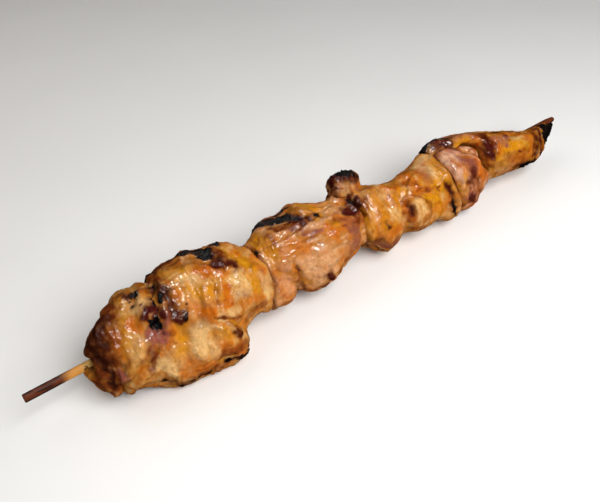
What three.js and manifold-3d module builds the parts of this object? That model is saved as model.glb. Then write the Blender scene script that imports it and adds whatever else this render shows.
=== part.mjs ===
// A grilled chicken kebab: six marinated pieces of boneless thigh, folded and
// threaded on a bamboo skewer, lying on a flat surface. Millimetres, +Z up.
//
// The skewer runs along +X from its blunt handle end to its pointed end. Places on
// the kebab are [along, angle, out]: millimetres from the blunt end, degrees round
// the skewer from straight up, positive towards the front (-Y), and millimetres out
// from the skewer's axis.
//
// Each piece of meat is one solid: a rolled body, with folds of meat joined to it,
// bored for the skewer, cut back from its neighbours and pressed flat underneath.
// At the end the kebab is set down with its origin under the middle of its box.

import * as THREE from "three";
import { mergeVertices } from "three/addons/utils/BufferGeometryUtils.js";
import Module from "manifold-3d";

const wasm = await Module();
wasm.setup();

// ---------------------------------------------------------------- dimensions
const SKEWER_LENGTH = 250;
const SKEWER_RADIUS = 1.5;
const POINT_LENGTH = 6; // the far end, a short blunted point
const POINT_RADIUS = 1.1; // where the tip, burnt round, begins
const TIP_RADIUS = 0.77; // and halfway over it
const TIP_LENGTH = 0.33; // from there to the very end
const EDGE_EASE = 0.25; // the blunt end's rounded edge
const SKEWER_SIDES = 16;

const SURFACE_BELOW_SKEWER = 16; // how high the skewer's axis lies
const GAP = 0.35; // between pieces, and round the skewer
const SLAB = 400; // cutting block, larger than the kebab

// A body's four reaches are measured at these angles, a quarter turn apart.
const BACK_TOP = -47;
const FRONT_TOP = 43;
const FRONT_BELOW = 133;
const BACK_BELOW = 223;
const REACH_ANGLES = [BACK_TOP, FRONT_TOP, FRONT_BELOW, BACK_BELOW];

const { clamp, degToRad, lerp, radToDeg } = THREE.MathUtils;

// ------------------------------------------------------- solids and geometry
function solidOf(geometry) {
  const bare = new THREE.BufferGeometry();
  bare.setAttribute("position", geometry.getAttribute("position"));
  bare.setIndex(geometry.getIndex());
  const merged = mergeVertices(bare, 1e-4);
  return new wasm.Manifold(
    new wasm.Mesh({
      numProp: 3,
      vertProperties: new Float32Array(merged.attributes.position.array),
      triVerts: new Uint32Array(merged.index.array),
    }),
  );
}

function geometryOf(solid) {
  const { vertProperties, triVerts, numProp, numVert } = solid.getMesh();
  const positions = new Float32Array(numVert * 3);
  for (let i = 0; i < numVert; i++)
    positions.set(vertProperties.subarray(i * numProp, i * numProp + 3), i * 3);
  const geometry = new THREE.BufferGeometry();
  geometry.setAttribute("position", new THREE.BufferAttribute(positions, 3));
  geometry.setIndex(new THREE.BufferAttribute(new Uint32Array(triVerts), 1));
  geometry.computeVertexNormals();
  return geometry;
}

function largestBody(solid) {
  return solid
    .decompose()
    .reduce((best, body) => (body.volume() > best.volume() ? body : best));
}

function spot([along, angle, out]) {
  const turn = degToRad(angle);
  return new THREE.Vector3(along, -out * Math.sin(turn), out * Math.cos(turn));
}

// ------------------------------------------------------------ uneven surfaces
// A repeatable random draw, so that each shape's unevenness is its own.
function drawFrom(seed) {
  let state = Math.imul(seed, 2654435761);
  return () => {
    state = (Math.imul(state ^ (state >>> 15), 2246822519) + 0x9e3779b9) | 0;
    return ((state ^ (state >>> 13)) >>> 0) / 4294967296;
  };
}

// The lumpiness of cooked meat: a few crossing waves, from -1 to 1.
const LUMP_WAVES = 6;
const SHORTEST_LUMP = 8;
const LONGEST_LUMP = 20;
function lumpsOf(seed) {
  const draw = drawFrom(seed);
  const waves = Array.from({ length: LUMP_WAVES }, () => ({
    direction: new THREE.Vector3().setFromSphericalCoords(
      1,
      Math.acos(2 * draw() - 1),
      2 * Math.PI * draw(),
    ),
    pitch: (2 * Math.PI) / lerp(SHORTEST_LUMP, LONGEST_LUMP, draw()),
    phase: 2 * Math.PI * draw(),
  }));
  const height = (point) => (wave) =>
    Math.sin(point.dot(wave.direction) * wave.pitch + wave.phase);
  return (point) =>
    waves.map(height(point)).reduce((sum, h) => sum + h, 0) / Math.sqrt(LUMP_WAVES);
}

// A smooth curve through [place, value] stations, with flat ends.
function through(stations, place) {
  const last = stations.length - 1;
  const at = (i) => stations[clamp(i, 0, last)];
  const found = stations.findIndex(([start]) => start > place);
  const i = found < 0 ? last : Math.max(found - 1, 0);
  const [[x0, y0], [x1, y1]] = [at(i), at(i + 1)];
  if (x1 === x0) return y0;
  const slope = (a, b) => (b[0] === a[0] ? 0 : (b[1] - a[1]) / (b[0] - a[0]));
  const run = x1 - x0;
  const m0 = i > 0 ? slope(at(i - 1), at(i + 1)) * run : 0;
  const m1 = i + 1 < last ? slope(at(i), at(i + 2)) * run : 0;
  const t = clamp((place - x0) / run, 0, 1);
  return (
    (2 * t ** 3 - 3 * t ** 2 + 1) * y0 +
    (t ** 3 - 2 * t ** 2 + t) * m0 +
    (3 * t ** 2 - 2 * t ** 3) * y1 +
    (t ** 3 - t ** 2) * m1
  );
}

// The distance on an unrolled surface from [along, angle] to a crease's line.
function distanceToCrease([along, angle], radius, { from, to }) {
  const unrolled = ([a, turn]) => {
    const round = THREE.MathUtils.euclideanModulo(turn - angle + 180, 360) - 180;
    return new THREE.Vector3(a - along, degToRad(round) * radius, 0);
  };
  const line = new THREE.Line3(unrolled(from), unrolled(to));
  const here = new THREE.Vector3();
  return line.closestPointToPoint(here, true, new THREE.Vector3()).length();
}

// ---------------------------------------------------------------- meat shapes
// A rolled body round the skewer. Its stations are [along, reach at each of
// REACH_ANGLES]. blunt squares its ends, and lean slants its near and far ends, so
// that its top lies further along than its underside. A crease is a soft valley
// between two places.
const BODY_SIDES = 30;
const BODY_RINGS = 26;
const EVEN_RINGS = 0.5; // 0 crowds the rings to the ends, 1 spaces them evenly
function rolledBody({ stations, blunt = 3, lean = [0, 0], creases = [], rough = 0.7 }, grow) {
  const ball = new THREE.SphereGeometry(1, BODY_SIDES, BODY_RINGS);
  const positions = ball.getAttribute("position");
  const start = stations[0][0] - grow;
  const end = stations.at(-1)[0] + grow;
  const sides = REACH_ANGLES.map((_, i) => stations.map((row) => [row[0], row[i + 1]]));
  const reachAt = (along, angle) =>
    REACH_ANGLES.reduce((sum, at, side) => {
      const share = Math.max(Math.cos(degToRad(angle - at)), 0) ** 2;
      return sum + share * through(sides[side], along);
    }, 0);
  const lumps = lumpsOf(Math.round(stations[0][0] + 10));
  for (let i = 0; i < positions.count; i++) {
    const level = clamp(positions.getY(i), -1, 1);
    const middling = lerp(level, Math.asin(level) / (Math.PI / 2), EVEN_RINGS);
    const along01 = (1 + middling) / 2;
    const angle = radToDeg(Math.atan2(positions.getX(i), positions.getZ(i)));
    const closing = Math.max(1 - Math.abs(middling) ** blunt, 0) ** (1 / blunt);
    const straight = lerp(start, end, along01);
    const slant = lerp(...lean, along01) * closing * Math.cos(degToRad(angle - BACK_TOP));
    const along = straight + slant * reachAt(straight, angle);
    const reach = reachAt(along, angle);
    const carved = creases.reduce((sum, crease) => {
      const away = distanceToCrease([along, angle], reach, crease) / crease.width;
      return sum + crease.depth * Math.exp(-(away ** 2));
    }, 0);
    const uneven = rough * lumps(spot([along, angle, reach]));
    const out = (reach - carved + uneven + grow) * closing;
    positions.setXYZ(i, ...spot([along, angle, out]));
  }
  return solidOf(ball);
}

// One fold of meat on a body, centred at a spot. Its half sizes are along the
// skewer, round it and out from it: square 2 is an ellipsoid, and higher is boxier.
// It is turned, in degrees, about those same three directions.
const FOLD_DETAIL = 4;
function fold({ at, size, turn = [0, 0, 0], square = 2.4, rough = 0.5 }, grow) {
  const ball = new THREE.IcosahedronGeometry(1, FOLD_DETAIL);
  const positions = ball.getAttribute("position");
  const half = new THREE.Vector3(...size);
  const lumps = lumpsOf(Math.round(at[0] * 7 + at[1] * 3 + 1000));
  const out = new THREE.Vector3();
  const point = new THREE.Vector3();
  for (let i = 0; i < positions.count; i++) {
    out.fromBufferAttribute(positions, i).normalize();
    const spread = [...out].reduce((sum, part) => sum + Math.abs(part) ** square, 0);
    const corner = out.clone().multiplyScalar(spread ** (-1 / square));
    point.copy(corner).multiply(half);
    point.addScaledVector(out, rough * lumps(point) + grow);
    positions.setXYZ(i, ...point);
  }
  const tilt = new THREE.Euler(...[at[1] + turn[0], turn[1], turn[2]].map(degToRad), "XYZ");
  const place = new THREE.Matrix4().makeRotationFromEuler(tilt).setPosition(spot(at));
  return solidOf(ball.applyMatrix4(place));
}

function joined({ body, folds = [] }, grow = 0) {
  const added = folds.map((shape) => fold(shape, grow));
  return added.reduce((all, one) => all.add(one), rolledBody(body, grow));
}

// ------------------------------------------------------------- the six pieces
// In order along the skewer. A piece is cut back from the ones named in "under",
// which lie over it.

// The first piece: a cap folded over the skewer, with a rounded lip beneath it.
const capFold = {
  name: "chicken_1_cap_fold",
  colour: 0xb9772f,
  under: ["chicken_2_thigh_slab"],
  body: {
    blunt: 4,
    lean: [0.15, 0.3],
    stations: [
      [19.5, 3.5, 9, 8, 9],
      [22.5, 6, 11, 11.5, 10.5],
      [26, 9, 13, 13.2, 12],
      [31, 12.6, 14.5, 14.6, 13],
      [36, 15.4, 15.5, 15.2, 14],
      [41, 17.3, 16, 15.4, 14],
      [48, 16.4, 15.5, 14, 14],
      [56, 15.5, 13, 12, 13],
    ],
    creases: [{ from: [20, 80], to: [32, 122], width: 2.6, depth: 2.4 }],
  },
};

// The second and largest: a doubled slab, its lower edge hanging to the front.
const thighSlab = {
  name: "chicken_2_thigh_slab",
  colour: 0xcf8f3f,
  body: {
    blunt: 5,
    lean: [0.72, -0.1],
    stations: [
      [35, 11.6, 13.6, 16.6, 13],
      [42, 12.6, 14.2, 19.8, 14],
      [50, 15.5, 16, 22.4, 15],
      [55, 18, 17, 23, 16],
      [62, 19.2, 17.8, 23.6, 17],
      [68, 19.3, 17.6, 23.2, 17],
      [72, 18.6, 17.2, 16.5, 16],
      [76, 17.3, 16.6, 12.4, 15],
      [80, 16.8, 16, 12.2, 14],
      [84, 13.8, 15, 12.6, 13],
      [88.5, 11, 13.5, 12, 12],
    ],
    creases: [
      { from: [62, 84], to: [77, 92], width: 2.6, depth: 1.8 },
      { from: [49, 100], to: [56, 40], width: 4, depth: 1 },
    ],
  },
  folds: [{ at: [61.8, 130, 16.6], size: [9.2, 7.6, 6.2], square: 5, turn: [8, -3, 6] }],
};

// The third: a long fold with a seam along its top and a knuckle at its near end.
const longFold = {
  name: "chicken_3_long_fold",
  colour: 0xc98436,
  under: ["chicken_2_thigh_slab"],
  body: {
    blunt: 5,
    lean: [-0.15, 0.1],
    stations: [
      [84.5, 10, 9, 8, 9],
      [91, 14, 12, 8, 11],
      [95, 16.3, 14, 9.5, 12],
      [101, 16.6, 15, 14, 13],
      [106, 16.6, 15.5, 16, 13],
      [112, 18, 15.5, 15.4, 13],
      [118, 15.4, 15, 13, 12],
      [126, 12.3, 12.4, 10.2, 11],
      [132, 11.2, 10.4, 8.5, 9],
      [137.5, 10.4, 8, 7, 8],
    ],
    creases: [
      { from: [97, -20], to: [118, -4], width: 2.8, depth: 2.2 },
      { from: [98, 105], to: [103, 60], width: 3, depth: 1.4 },
    ],
  },
  folds: [
    { at: [91.5, 120, 8], size: [6.5, 7, 6.6] },
    { at: [118, -35, 10], size: [15, 5, 4.5], square: 3, turn: [0, 8, -4] },
  ],
};

// The fourth: a rolled strip with a stub standing up behind and a curl in front.
const rolledStrip = {
  name: "chicken_4_rolled_strip",
  colour: 0xcc8a3c,
  under: ["chicken_3_long_fold"],
  body: {
    blunt: 5,
    stations: [
      [129, 8, 9, 8, 9],
      [135, 11, 11, 11.5, 12],
      [139, 12, 12, 15.6, 14],
      [143, 11.8, 12, 15.2, 15],
      [148, 10, 12, 14.2, 14],
      [152, 9, 11.5, 13.2, 13],
      [158, 8.6, 11.8, 15.2, 13.4],
      [164, 9.6, 12.5, 14.8, 14.4],
      [169, 10.8, 12.8, 15.6, 15],
      [174, 12, 13, 18.8, 16],
      [179, 12.4, 11.6, 18, 15],
    ],
    creases: [
      { from: [150, 40], to: [150, 120], width: 3.2, depth: 1.4 },
      { from: [166, 10], to: [172, 80], width: 3, depth: 1.6 },
    ],
  },
  folds: [
    { at: [135.9, -47, 12.7], size: [6.5, 5.8, 7.7], square: 5, turn: [0, 10, 0] },
    { at: [157.5, 92, 8.5], size: [8, 8, 6.2] },
  ],
};

// The fifth: short upright pleats pressed between its neighbours.
const pleatedFold = {
  name: "chicken_5_pleated_fold",
  colour: 0xc07a40,
  under: ["chicken_4_rolled_strip"],
  body: {
    blunt: 4,
    lean: [0.1, 0],
    stations: [
      [172, 10, 12, 16, 14],
      [180, 10.8, 13, 15.3, 17],
      [185, 10.6, 13.6, 16, 17.4],
      [190, 9.8, 13.4, 15, 16],
      [195, 8, 12.3, 12.8, 14],
      [199.5, 6.5, 10.5, 10.5, 12],
    ],
    creases: [{ from: [187, 0], to: [189, 100], width: 2.6, depth: 1.8 }],
  },
};

// The last: a long strip laid back over the fifth, tapering to the skewer's point.
const taperedEnd = {
  name: "chicken_6_tapered_end",
  colour: 0xd09543,
  under: ["chicken_4_rolled_strip", "chicken_5_pleated_fold"],
  body: {
    blunt: 6,
    stations: [
      [174, 14.4, 5, 3, 10],
      [181, 15, 6, 3, 12],
      [188, 14.6, 7, 4, 12],
      [196, 13.8, 8, 7, 12],
      [204, 11.4, 9.5, 10.2, 11],
      [210, 8.8, 9.8, 11.4, 10.5],
      [217, 6.4, 9.5, 12.7, 10],
      [225, 4.4, 8.5, 13.5, 9],
      [231, 3, 6.8, 12, 8],
      [236, 2.2, 4.6, 8.8, 6.5],
      [241, 1.9, 2.8, 6.6, 4.6],
      [245, 1.6, 1.8, 4.6, 3.2],
      [249, 1, 1.2, 2.4, 1.8],
    ],
    creases: [{ from: [206, 20], to: [210, 90], width: 3.5, depth: 1 }],
  },
};

const PIECES = [capFold, thighSlab, longFold, rolledStrip, pleatedFold, taperedEnd];

// ------------------------------------------------------------- cuts and joins
function bore() {
  const radius = SKEWER_RADIUS + GAP;
  const drill = new THREE.CylinderGeometry(radius, radius, 2 * SLAB, SKEWER_SIDES);
  return solidOf(drill.rotateZ(Math.PI / 2));
}

function surfaceBelow() {
  const block = new THREE.BoxGeometry(2 * SLAB, SLAB, SLAB);
  return solidOf(block.translate(0, 0, -SURFACE_BELOW_SKEWER - SLAB / 2));
}

function meat(piece) {
  const over = PIECES.filter(({ name }) => piece.under?.includes(name));
  const cuts = [...over.map((other) => joined(other, GAP)), bore(), surfaceBelow()];
  return largestBody(cuts.reduce((solid, cut) => solid.subtract(cut), joined(piece)));
}

// ------------------------------------------------------------------ the skewer
function skewerGeometry() {
  const profile = [
    [0, 0],
    [SKEWER_RADIUS - EDGE_EASE, 0],
    [SKEWER_RADIUS, EDGE_EASE],
    [SKEWER_RADIUS, SKEWER_LENGTH - POINT_LENGTH],
    [POINT_RADIUS, SKEWER_LENGTH - POINT_RADIUS],
    [TIP_RADIUS, SKEWER_LENGTH - TIP_LENGTH],
    [0, SKEWER_LENGTH],
  ].map(([radius, along]) => new THREE.Vector2(radius, along));
  return new THREE.LatheGeometry(profile, SKEWER_SIDES).rotateZ(-Math.PI / 2);
}

// ------------------------------------------------------------------ the kebab
const kebab = new THREE.Group();

const bamboo = new THREE.MeshStandardMaterial({ color: 0xb98a4e, roughness: 0.7, metalness: 0 });
const skewer = new THREE.Mesh(skewerGeometry(), bamboo);
skewer.name = "bamboo_skewer";
kebab.add(skewer);

for (const piece of PIECES) {
  const cooked = new THREE.MeshStandardMaterial({
    color: piece.colour,
    roughness: 0.35,
    metalness: 0,
  });
  const mesh = new THREE.Mesh(geometryOf(meat(piece)), cooked);
  mesh.name = piece.name;
  kebab.add(mesh);
}

// Set down: the origin is under the middle of the box, on the surface.
const box = new THREE.Box3().setFromObject(kebab, true);
const middle = box.getCenter(new THREE.Vector3());
kebab.position.set(-middle.x, -middle.y, -box.min.z);

export default kebab;
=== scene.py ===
"""A grilled chicken kebab: six lumps of glazed thigh meat threaded on a bamboo skewer.

Sizes are in mm. A place on the food is given as [along, angle]: the distance from the
skewer's blunt end, and the angle round the skewer, 0 on top, 90 at the front, -90 behind.
"""

import itertools
from math import radians
from types import SimpleNamespace

import bpy
import numpy as np
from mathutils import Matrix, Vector
from mathutils.bvhtree import BVHTree


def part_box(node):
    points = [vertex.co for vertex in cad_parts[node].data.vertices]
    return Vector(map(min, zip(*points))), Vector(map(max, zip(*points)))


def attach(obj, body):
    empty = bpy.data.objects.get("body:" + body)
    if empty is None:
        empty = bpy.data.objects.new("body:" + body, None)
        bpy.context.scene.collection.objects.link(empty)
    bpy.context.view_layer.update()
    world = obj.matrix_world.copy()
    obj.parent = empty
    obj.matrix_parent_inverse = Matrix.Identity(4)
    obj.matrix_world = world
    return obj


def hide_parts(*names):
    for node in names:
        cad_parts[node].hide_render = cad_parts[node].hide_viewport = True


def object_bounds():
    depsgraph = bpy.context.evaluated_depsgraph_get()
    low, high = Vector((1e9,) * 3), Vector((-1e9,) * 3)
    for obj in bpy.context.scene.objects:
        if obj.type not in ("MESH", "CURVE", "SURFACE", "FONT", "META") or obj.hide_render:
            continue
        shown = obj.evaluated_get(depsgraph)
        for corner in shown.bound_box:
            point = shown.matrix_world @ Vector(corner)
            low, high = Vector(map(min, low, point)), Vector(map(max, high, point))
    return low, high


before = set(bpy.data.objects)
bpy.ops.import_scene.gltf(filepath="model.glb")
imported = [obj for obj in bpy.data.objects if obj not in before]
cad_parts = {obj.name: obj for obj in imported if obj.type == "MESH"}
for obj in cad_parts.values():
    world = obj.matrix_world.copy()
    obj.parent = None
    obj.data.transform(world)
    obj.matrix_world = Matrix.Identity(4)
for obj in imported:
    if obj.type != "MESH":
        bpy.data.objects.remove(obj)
cad_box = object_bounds()
MM = 0.001

# ---------------------------------------------------------------------- the tabletop
# A pale matt laminate top, pressed smooth, that the kebab lies on. It is only the floor
# of the picture and no part of the kebab.
TABLE_WIDTH = 4000
TABLE_COLOUR = "#F3F2F0"
TABLE_SHADE = "#EDECEA"
TABLE_MOTTLE = 60  # mm from one faint cloud in the laminate to the next


def linear(hex_colour):
    """An sRGB hex colour as the linear red, green, blue and alpha that a shader takes."""
    parts = [int(hex_colour[i : i + 2], 16) / 255 for i in (1, 3, 5)]
    return [c / 12.92 if c <= 0.04045 else ((c + 0.055) / 1.055) ** 2.4 for c in parts] + [1]


def add_node(material, kind, inputs=(), **settings):
    """Adds one node. An input is given its value, or the output that feeds it."""
    node = material.node_tree.nodes.new("ShaderNode" + kind)
    for setting, value in settings.items():
        setattr(node, setting, value)
    for socket, value in dict(inputs).items():
        if isinstance(value, bpy.types.NodeSocket):
            material.node_tree.links.new(value, node.inputs[socket])
        else:
            node.inputs[socket].default_value = value
    return node


def new_material(name):
    """An empty node material, and the object coordinates on it in mm."""
    material = bpy.data.materials.new(name)
    material.use_nodes = True
    material.node_tree.nodes.clear()
    place = add_node(material, "TexCoord").outputs["Object"]
    in_mm = add_node(material, "Mapping", {"Vector": place, "Scale": [1 / MM] * 3})
    return material, in_mm.outputs["Vector"]


MIX_COLOURS = {"data_type": "RGBA"}
FACTOR, FIRST, SECOND, MIXED = 0, 6, 7, 2  # sockets of a node that mixes colours

bpy.ops.object.select_all(action="DESELECT")
bpy.ops.mesh.primitive_plane_add(size=TABLE_WIDTH * MM, location=(0, 0, cad_box[0].z))
table = bpy.context.object
table.name = "table"
bpy.ops.object.transform_apply(location=True, rotation=True, scale=True)

laminate, table_mm = new_material("matt pale laminate")
cloud = add_node(laminate, "TexNoise", {"Vector": table_mm, "Scale": 1 / TABLE_MOTTLE})
shade = {FACTOR: cloud.outputs["Fac"], FIRST: linear(TABLE_COLOUR), SECOND: linear(TABLE_SHADE)}
shaded = add_node(laminate, "Mix", shade, **MIX_COLOURS).outputs[MIXED]
finish = {"Base Color": shaded, "Roughness": 0.6, "IOR": 1.5}
surface = add_node(laminate, "BsdfPrincipled", finish)
add_node(laminate, "OutputMaterial", {"Surface": surface.outputs["BSDF"]})
table.data.materials.append(laminate)
table.visible_glossy = False

# --------------------------------------------------------------- the light and camera
# Soft studio light: a large softbox in front of the kebab, a dim wide one behind it, and
# two small ones over it that only glint in the glaze. All hang over the table.
stick_low, stick_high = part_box("bamboo_skewer")
blunt_end = Vector((stick_low.x, *(stick_low + stick_high).yz / 2))
LIT_PLACE = (110, 0, 0)  # what the lights and the camera are turned to, from the blunt end

SOFTBOXES = {
    # name: place from the blunt end, width, watts, colour, whether it only glints
    "key_softbox": ((180, -290, 320), 320, 2.62, "#FFFFFF", False),
    "front_glint": ((110, -90, 420), 60, 2.3, "#FFFFFF", True),
    "back_glint": ((20, 80, 420), 40, 0.5, "#FFFFFF", True),
    "fill_softbox": ((-60, 260, 400), 480, 0.8, "#FFFAF4", False),
}
ROOM_LIGHT = 0.12


def face(thing, target):
    """Turns a light or camera to look at a place."""
    thing.rotation_euler = (Vector(target) - thing.location).to_track_quat("-Z", "Y").to_euler()


lit_point = blunt_end + Vector(LIT_PLACE) * MM
for light_name, (place, width, watts, colour, glints) in SOFTBOXES.items():
    bpy.ops.object.light_add(type="AREA", location=blunt_end + Vector(place) * MM)
    softbox = bpy.context.object
    softbox.name = light_name
    softbox.data.size = width * MM
    softbox.data.energy = watts
    softbox.data.color = linear(colour)[:3]
    softbox.visible_glossy = glints
    softbox.visible_diffuse = not glints
    face(softbox, lit_point)

room = bpy.data.worlds.new("pale room")
room.use_nodes = True
room.node_tree.nodes["Background"].inputs["Color"].default_value = (1, 1, 1, 1)
room.node_tree.nodes["Background"].inputs["Strength"].default_value = ROOM_LIGHT
room.cycles_visibility.glossy = False
bpy.context.scene.world = room
bpy.context.scene.view_settings.view_transform = "Standard"

CAMERA_PLACE = (14.1, -151.7, 164.8)
CAMERA_TARGET = (106.9, 0.75, 0)
CAMERA_ROLL = -5.42
bpy.ops.object.camera_add(location=blunt_end + Vector(CAMERA_PLACE) * MM)
camera = bpy.context.object
camera.data.lens = 38.5
camera.data.sensor_width = 36
camera.data.sensor_fit = "HORIZONTAL"
camera.data.clip_start = 0.01
face(camera, blunt_end + Vector(CAMERA_TARGET) * MM)
camera.rotation_euler.rotate_axis("Z", radians(CAMERA_ROLL))
bpy.context.scene.camera = camera

# ----------------------------------------------------------------- the bamboo skewer
# A 3 mm stick split from bamboo cane and turned round, cut off square at the handle and
# to a short blunt point. The lumps are threaded on it; the grill has browned both ends.
STICK_LENGTH = (stick_high.x - stick_low.x) / MM
STICK_RADIUS = (stick_high.z - stick_low.z) / 2 / MM
STICK_SIDES = 48
STICK_CUTS = (99, 1)  # each long edge into a hundred, and each of those into two
POINT_LENGTH = 6
POINT_RADIUS = 1.15
CUT_EDGE = 0.2  # the sawn end's worn edge
CAP_INSETS = (CUT_EDGE, 0.35, 0.35, 0.35)  # rings that let the ends be shaped
GRAIN_WIDTH = 0.32  # one bamboo strand
GRAIN_DEPTH = 0.035
SAW_MARKS = 0.12  # depth of the rough sawn end
# Where each stain begins and where it is full, in mm along the stick.
TOASTED_HANDLE = (25, 16)
BROWNED_HANDLE = (19, 9)
BURNT_HANDLE = (16, 10)
TOASTED_TIP = (200, 225)
BROWNED_TIP = (226, 236)
BURNT_TIP = (226, 232)
# Where the flames licked it: the middle, the fading edge and the full edge, in degrees.
LOWER_LICK = (130, 60, 25)
UPPER_LICK = (-45, 40, 15)
SMOKE_AMOUNT = 0.7


def places_of(piece):
    """A piece's vertices, in mm from the middle of the skewer's blunt end."""
    flat = np.empty(3 * len(piece.data.vertices))
    piece.data.vertices.foreach_get("co", flat)
    return (flat.reshape(-1, 3) - blunt_end) / MM


def move_to(piece, places):
    """Puts a piece's vertices at places in mm from the blunt end."""
    piece.data.vertices.foreach_set("co", (places * MM + blunt_end).ravel())
    piece.data.update()


def coat(piece, name, amounts):
    """Stores one number for each vertex under a name that a material reads."""
    layer = piece.data.attributes.new(name, "FLOAT", "POINT")
    layer.data.foreach_set("value", np.ascontiguousarray(amounts, dtype=np.float32))


def noise(places, pitch, seed=0):
    """Smooth random bumps about a pitch apart, from -1 to 1, the same on every run."""
    scaled = places / pitch + 1000 + 37.7 * seed
    cell = np.floor(scaled).astype(np.int64)
    inside = scaled - cell
    ease = inside**3 * (inside * (inside * 6 - 15) + 10)
    total = np.zeros(len(places))
    for corner in itertools.product((0, 1), repeat=3):
        x, y, z = (cell + corner).T
        mixed = (x * 73856093 ^ y * 19349663 ^ z * 83492791) & 0xFFFFFFFF
        mixed = (mixed ^ (mixed >> 13)) * 1274126177 & 0xFFFFFFFF
        slope = np.stack([mixed & 1023, mixed >> 10 & 1023, mixed >> 20 & 1023], 1) / 511.5 - 1
        weight = np.prod(np.where(corner, ease, 1 - ease), axis=1)
        total += weight * ((inside - corner) * slope).sum(1)
    return total * 1.6


def step(amounts, start, end):
    """Runs smoothly from 0 at start to 1 at end."""
    part = np.clip((amounts - start) / (end - start), 0, 1)
    return part * part * (3 - 2 * part)


bpy.ops.object.select_all(action="DESELECT")
bpy.ops.mesh.primitive_cylinder_add(
    vertices=STICK_SIDES,
    radius=STICK_RADIUS * MM,
    depth=STICK_LENGTH * MM,
    location=blunt_end + Vector((STICK_LENGTH * MM / 2, 0, 0)),
    rotation=(0, radians(90), 0),
)
stick = bpy.context.object
stick.name = "skewer_stick"
bpy.ops.object.transform_apply(location=True, rotation=True, scale=True)
long_edge = 0.9 * STICK_LENGTH * MM
bpy.ops.object.mode_set(mode="EDIT")
bpy.ops.mesh.select_mode(type="EDGE")
bpy.ops.mesh.select_all(action="DESELECT")
bpy.ops.object.mode_set(mode="OBJECT")
for edge in stick.data.edges:
    start, end = (stick.data.vertices[i].co for i in edge.vertices)
    edge.select = (end - start).length > long_edge
bpy.ops.object.mode_set(mode="EDIT")
for cuts in STICK_CUTS:
    bpy.ops.mesh.subdivide(number_cuts=cuts)
bpy.ops.mesh.select_all(action="DESELECT")
bpy.ops.mesh.select_mode(type="FACE")
bpy.ops.object.mode_set(mode="OBJECT")
for end_face in stick.data.polygons:
    end_face.select = abs(end_face.normal.x) > 0.9
bpy.ops.object.mode_set(mode="EDIT")
for inset in CAP_INSETS:
    bpy.ops.mesh.inset(thickness=inset * MM)
bpy.ops.mesh.poke()
bpy.ops.object.mode_set(mode="OBJECT")

wood = places_of(stick)
out = np.hypot(wood[:, 1], wood[:, 2])
along = wood[:, 0].copy()
strands = noise(wood / [60, 1, 1], GRAIN_WIDTH) + 0.5 * noise(wood / [25, 1, 1], 0.7, 1)
to_tip = step(along, STICK_LENGTH - POINT_LENGTH, STICK_LENGTH)
girth = 1 - to_tip * (1 - POINT_RADIUS / STICK_RADIUS)
girth += GRAIN_DEPTH / STICK_RADIUS * strands * (out > 0.9 * STICK_RADIUS)
wood[:, 1:] *= girth[:, None]
at_handle = along < 0.01
wood[at_handle, 0] += CUT_EDGE * step(out[at_handle], STICK_RADIUS - CUT_EDGE, STICK_RADIUS)
wood[at_handle, 0] += SAW_MARKS * (1 + noise(wood[at_handle], 0.4, 2))
at_tip = along > STICK_LENGTH - 0.01
wood[at_tip, 0] -= POINT_RADIUS * (out[at_tip] / STICK_RADIUS) ** 2
move_to(stick, wood)
bpy.ops.object.shade_smooth()

patchy = noise(wood / [4, 1, 1], 1.6, 3)


def licked(middle, fading, full):
    """How far the flames reached each point, round the stick from a middle angle."""
    angle = np.degrees(np.arctan2(-wood[:, 1], wood[:, 2]))
    return step(np.abs(angle - middle) + 12 * patchy, fading, full)


handle_brown = step(along + 1.5 * patchy, *BROWNED_HANDLE)
tip_brown = step(along + 1.5 * patchy, *BROWNED_TIP)
coat(stick, "browned", np.maximum(handle_brown, tip_brown))
smoked = SMOKE_AMOUNT * step(noise(wood / [3, 1, 1], 1.1, 4), -0.1, 0.5)
burnt_handle = np.max([licked(*LOWER_LICK), licked(*UPPER_LICK), smoked], 0)
burnt_handle *= step(along + 2 * patchy, *BURNT_HANDLE)
burnt_tip = step(along, *BURNT_TIP) * licked(*LOWER_LICK)
coat(stick, "burnt", np.maximum(burnt_handle, burnt_tip))
coat(stick, "toasted", step(along, *TOASTED_HANDLE) + step(along, *TOASTED_TIP))


# Split bamboo, turned and scorched: pale straw yellow with straight darker strands, dull
# and slightly hairy, toasted orange and then dark brown where the fire reached it.
BAMBOO_COLOURS = {
    "straw": "#D9B468",
    "strand": "#B98D45",
    "toasted": "#C08238",
    "browned": "#5C280F",
    "burnt": "#1C0B05",
}
bamboo, stick_mm = new_material("scorched split bamboo")
stretch = {"Vector": stick_mm, "Scale": (1 / 45, 1, 1)}
along_grain = add_node(bamboo, "Mapping", stretch).outputs["Vector"]
fine = {"Vector": along_grain, "Scale": 1 / GRAIN_WIDTH, "Detail": 4}
strand = add_node(bamboo, "TexNoise", fine).outputs["Fac"]
streak_range = {"Value": strand, "From Min": 0.42, "From Max": 0.66}
streak = add_node(bamboo, "MapRange", streak_range).outputs["Result"]
straw = {FACTOR: streak, FIRST: linear(BAMBOO_COLOURS["straw"])}
straw[SECOND] = linear(BAMBOO_COLOURS["strand"])
tint = add_node(bamboo, "Mix", straw, **MIX_COLOURS).outputs[MIXED]
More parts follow.
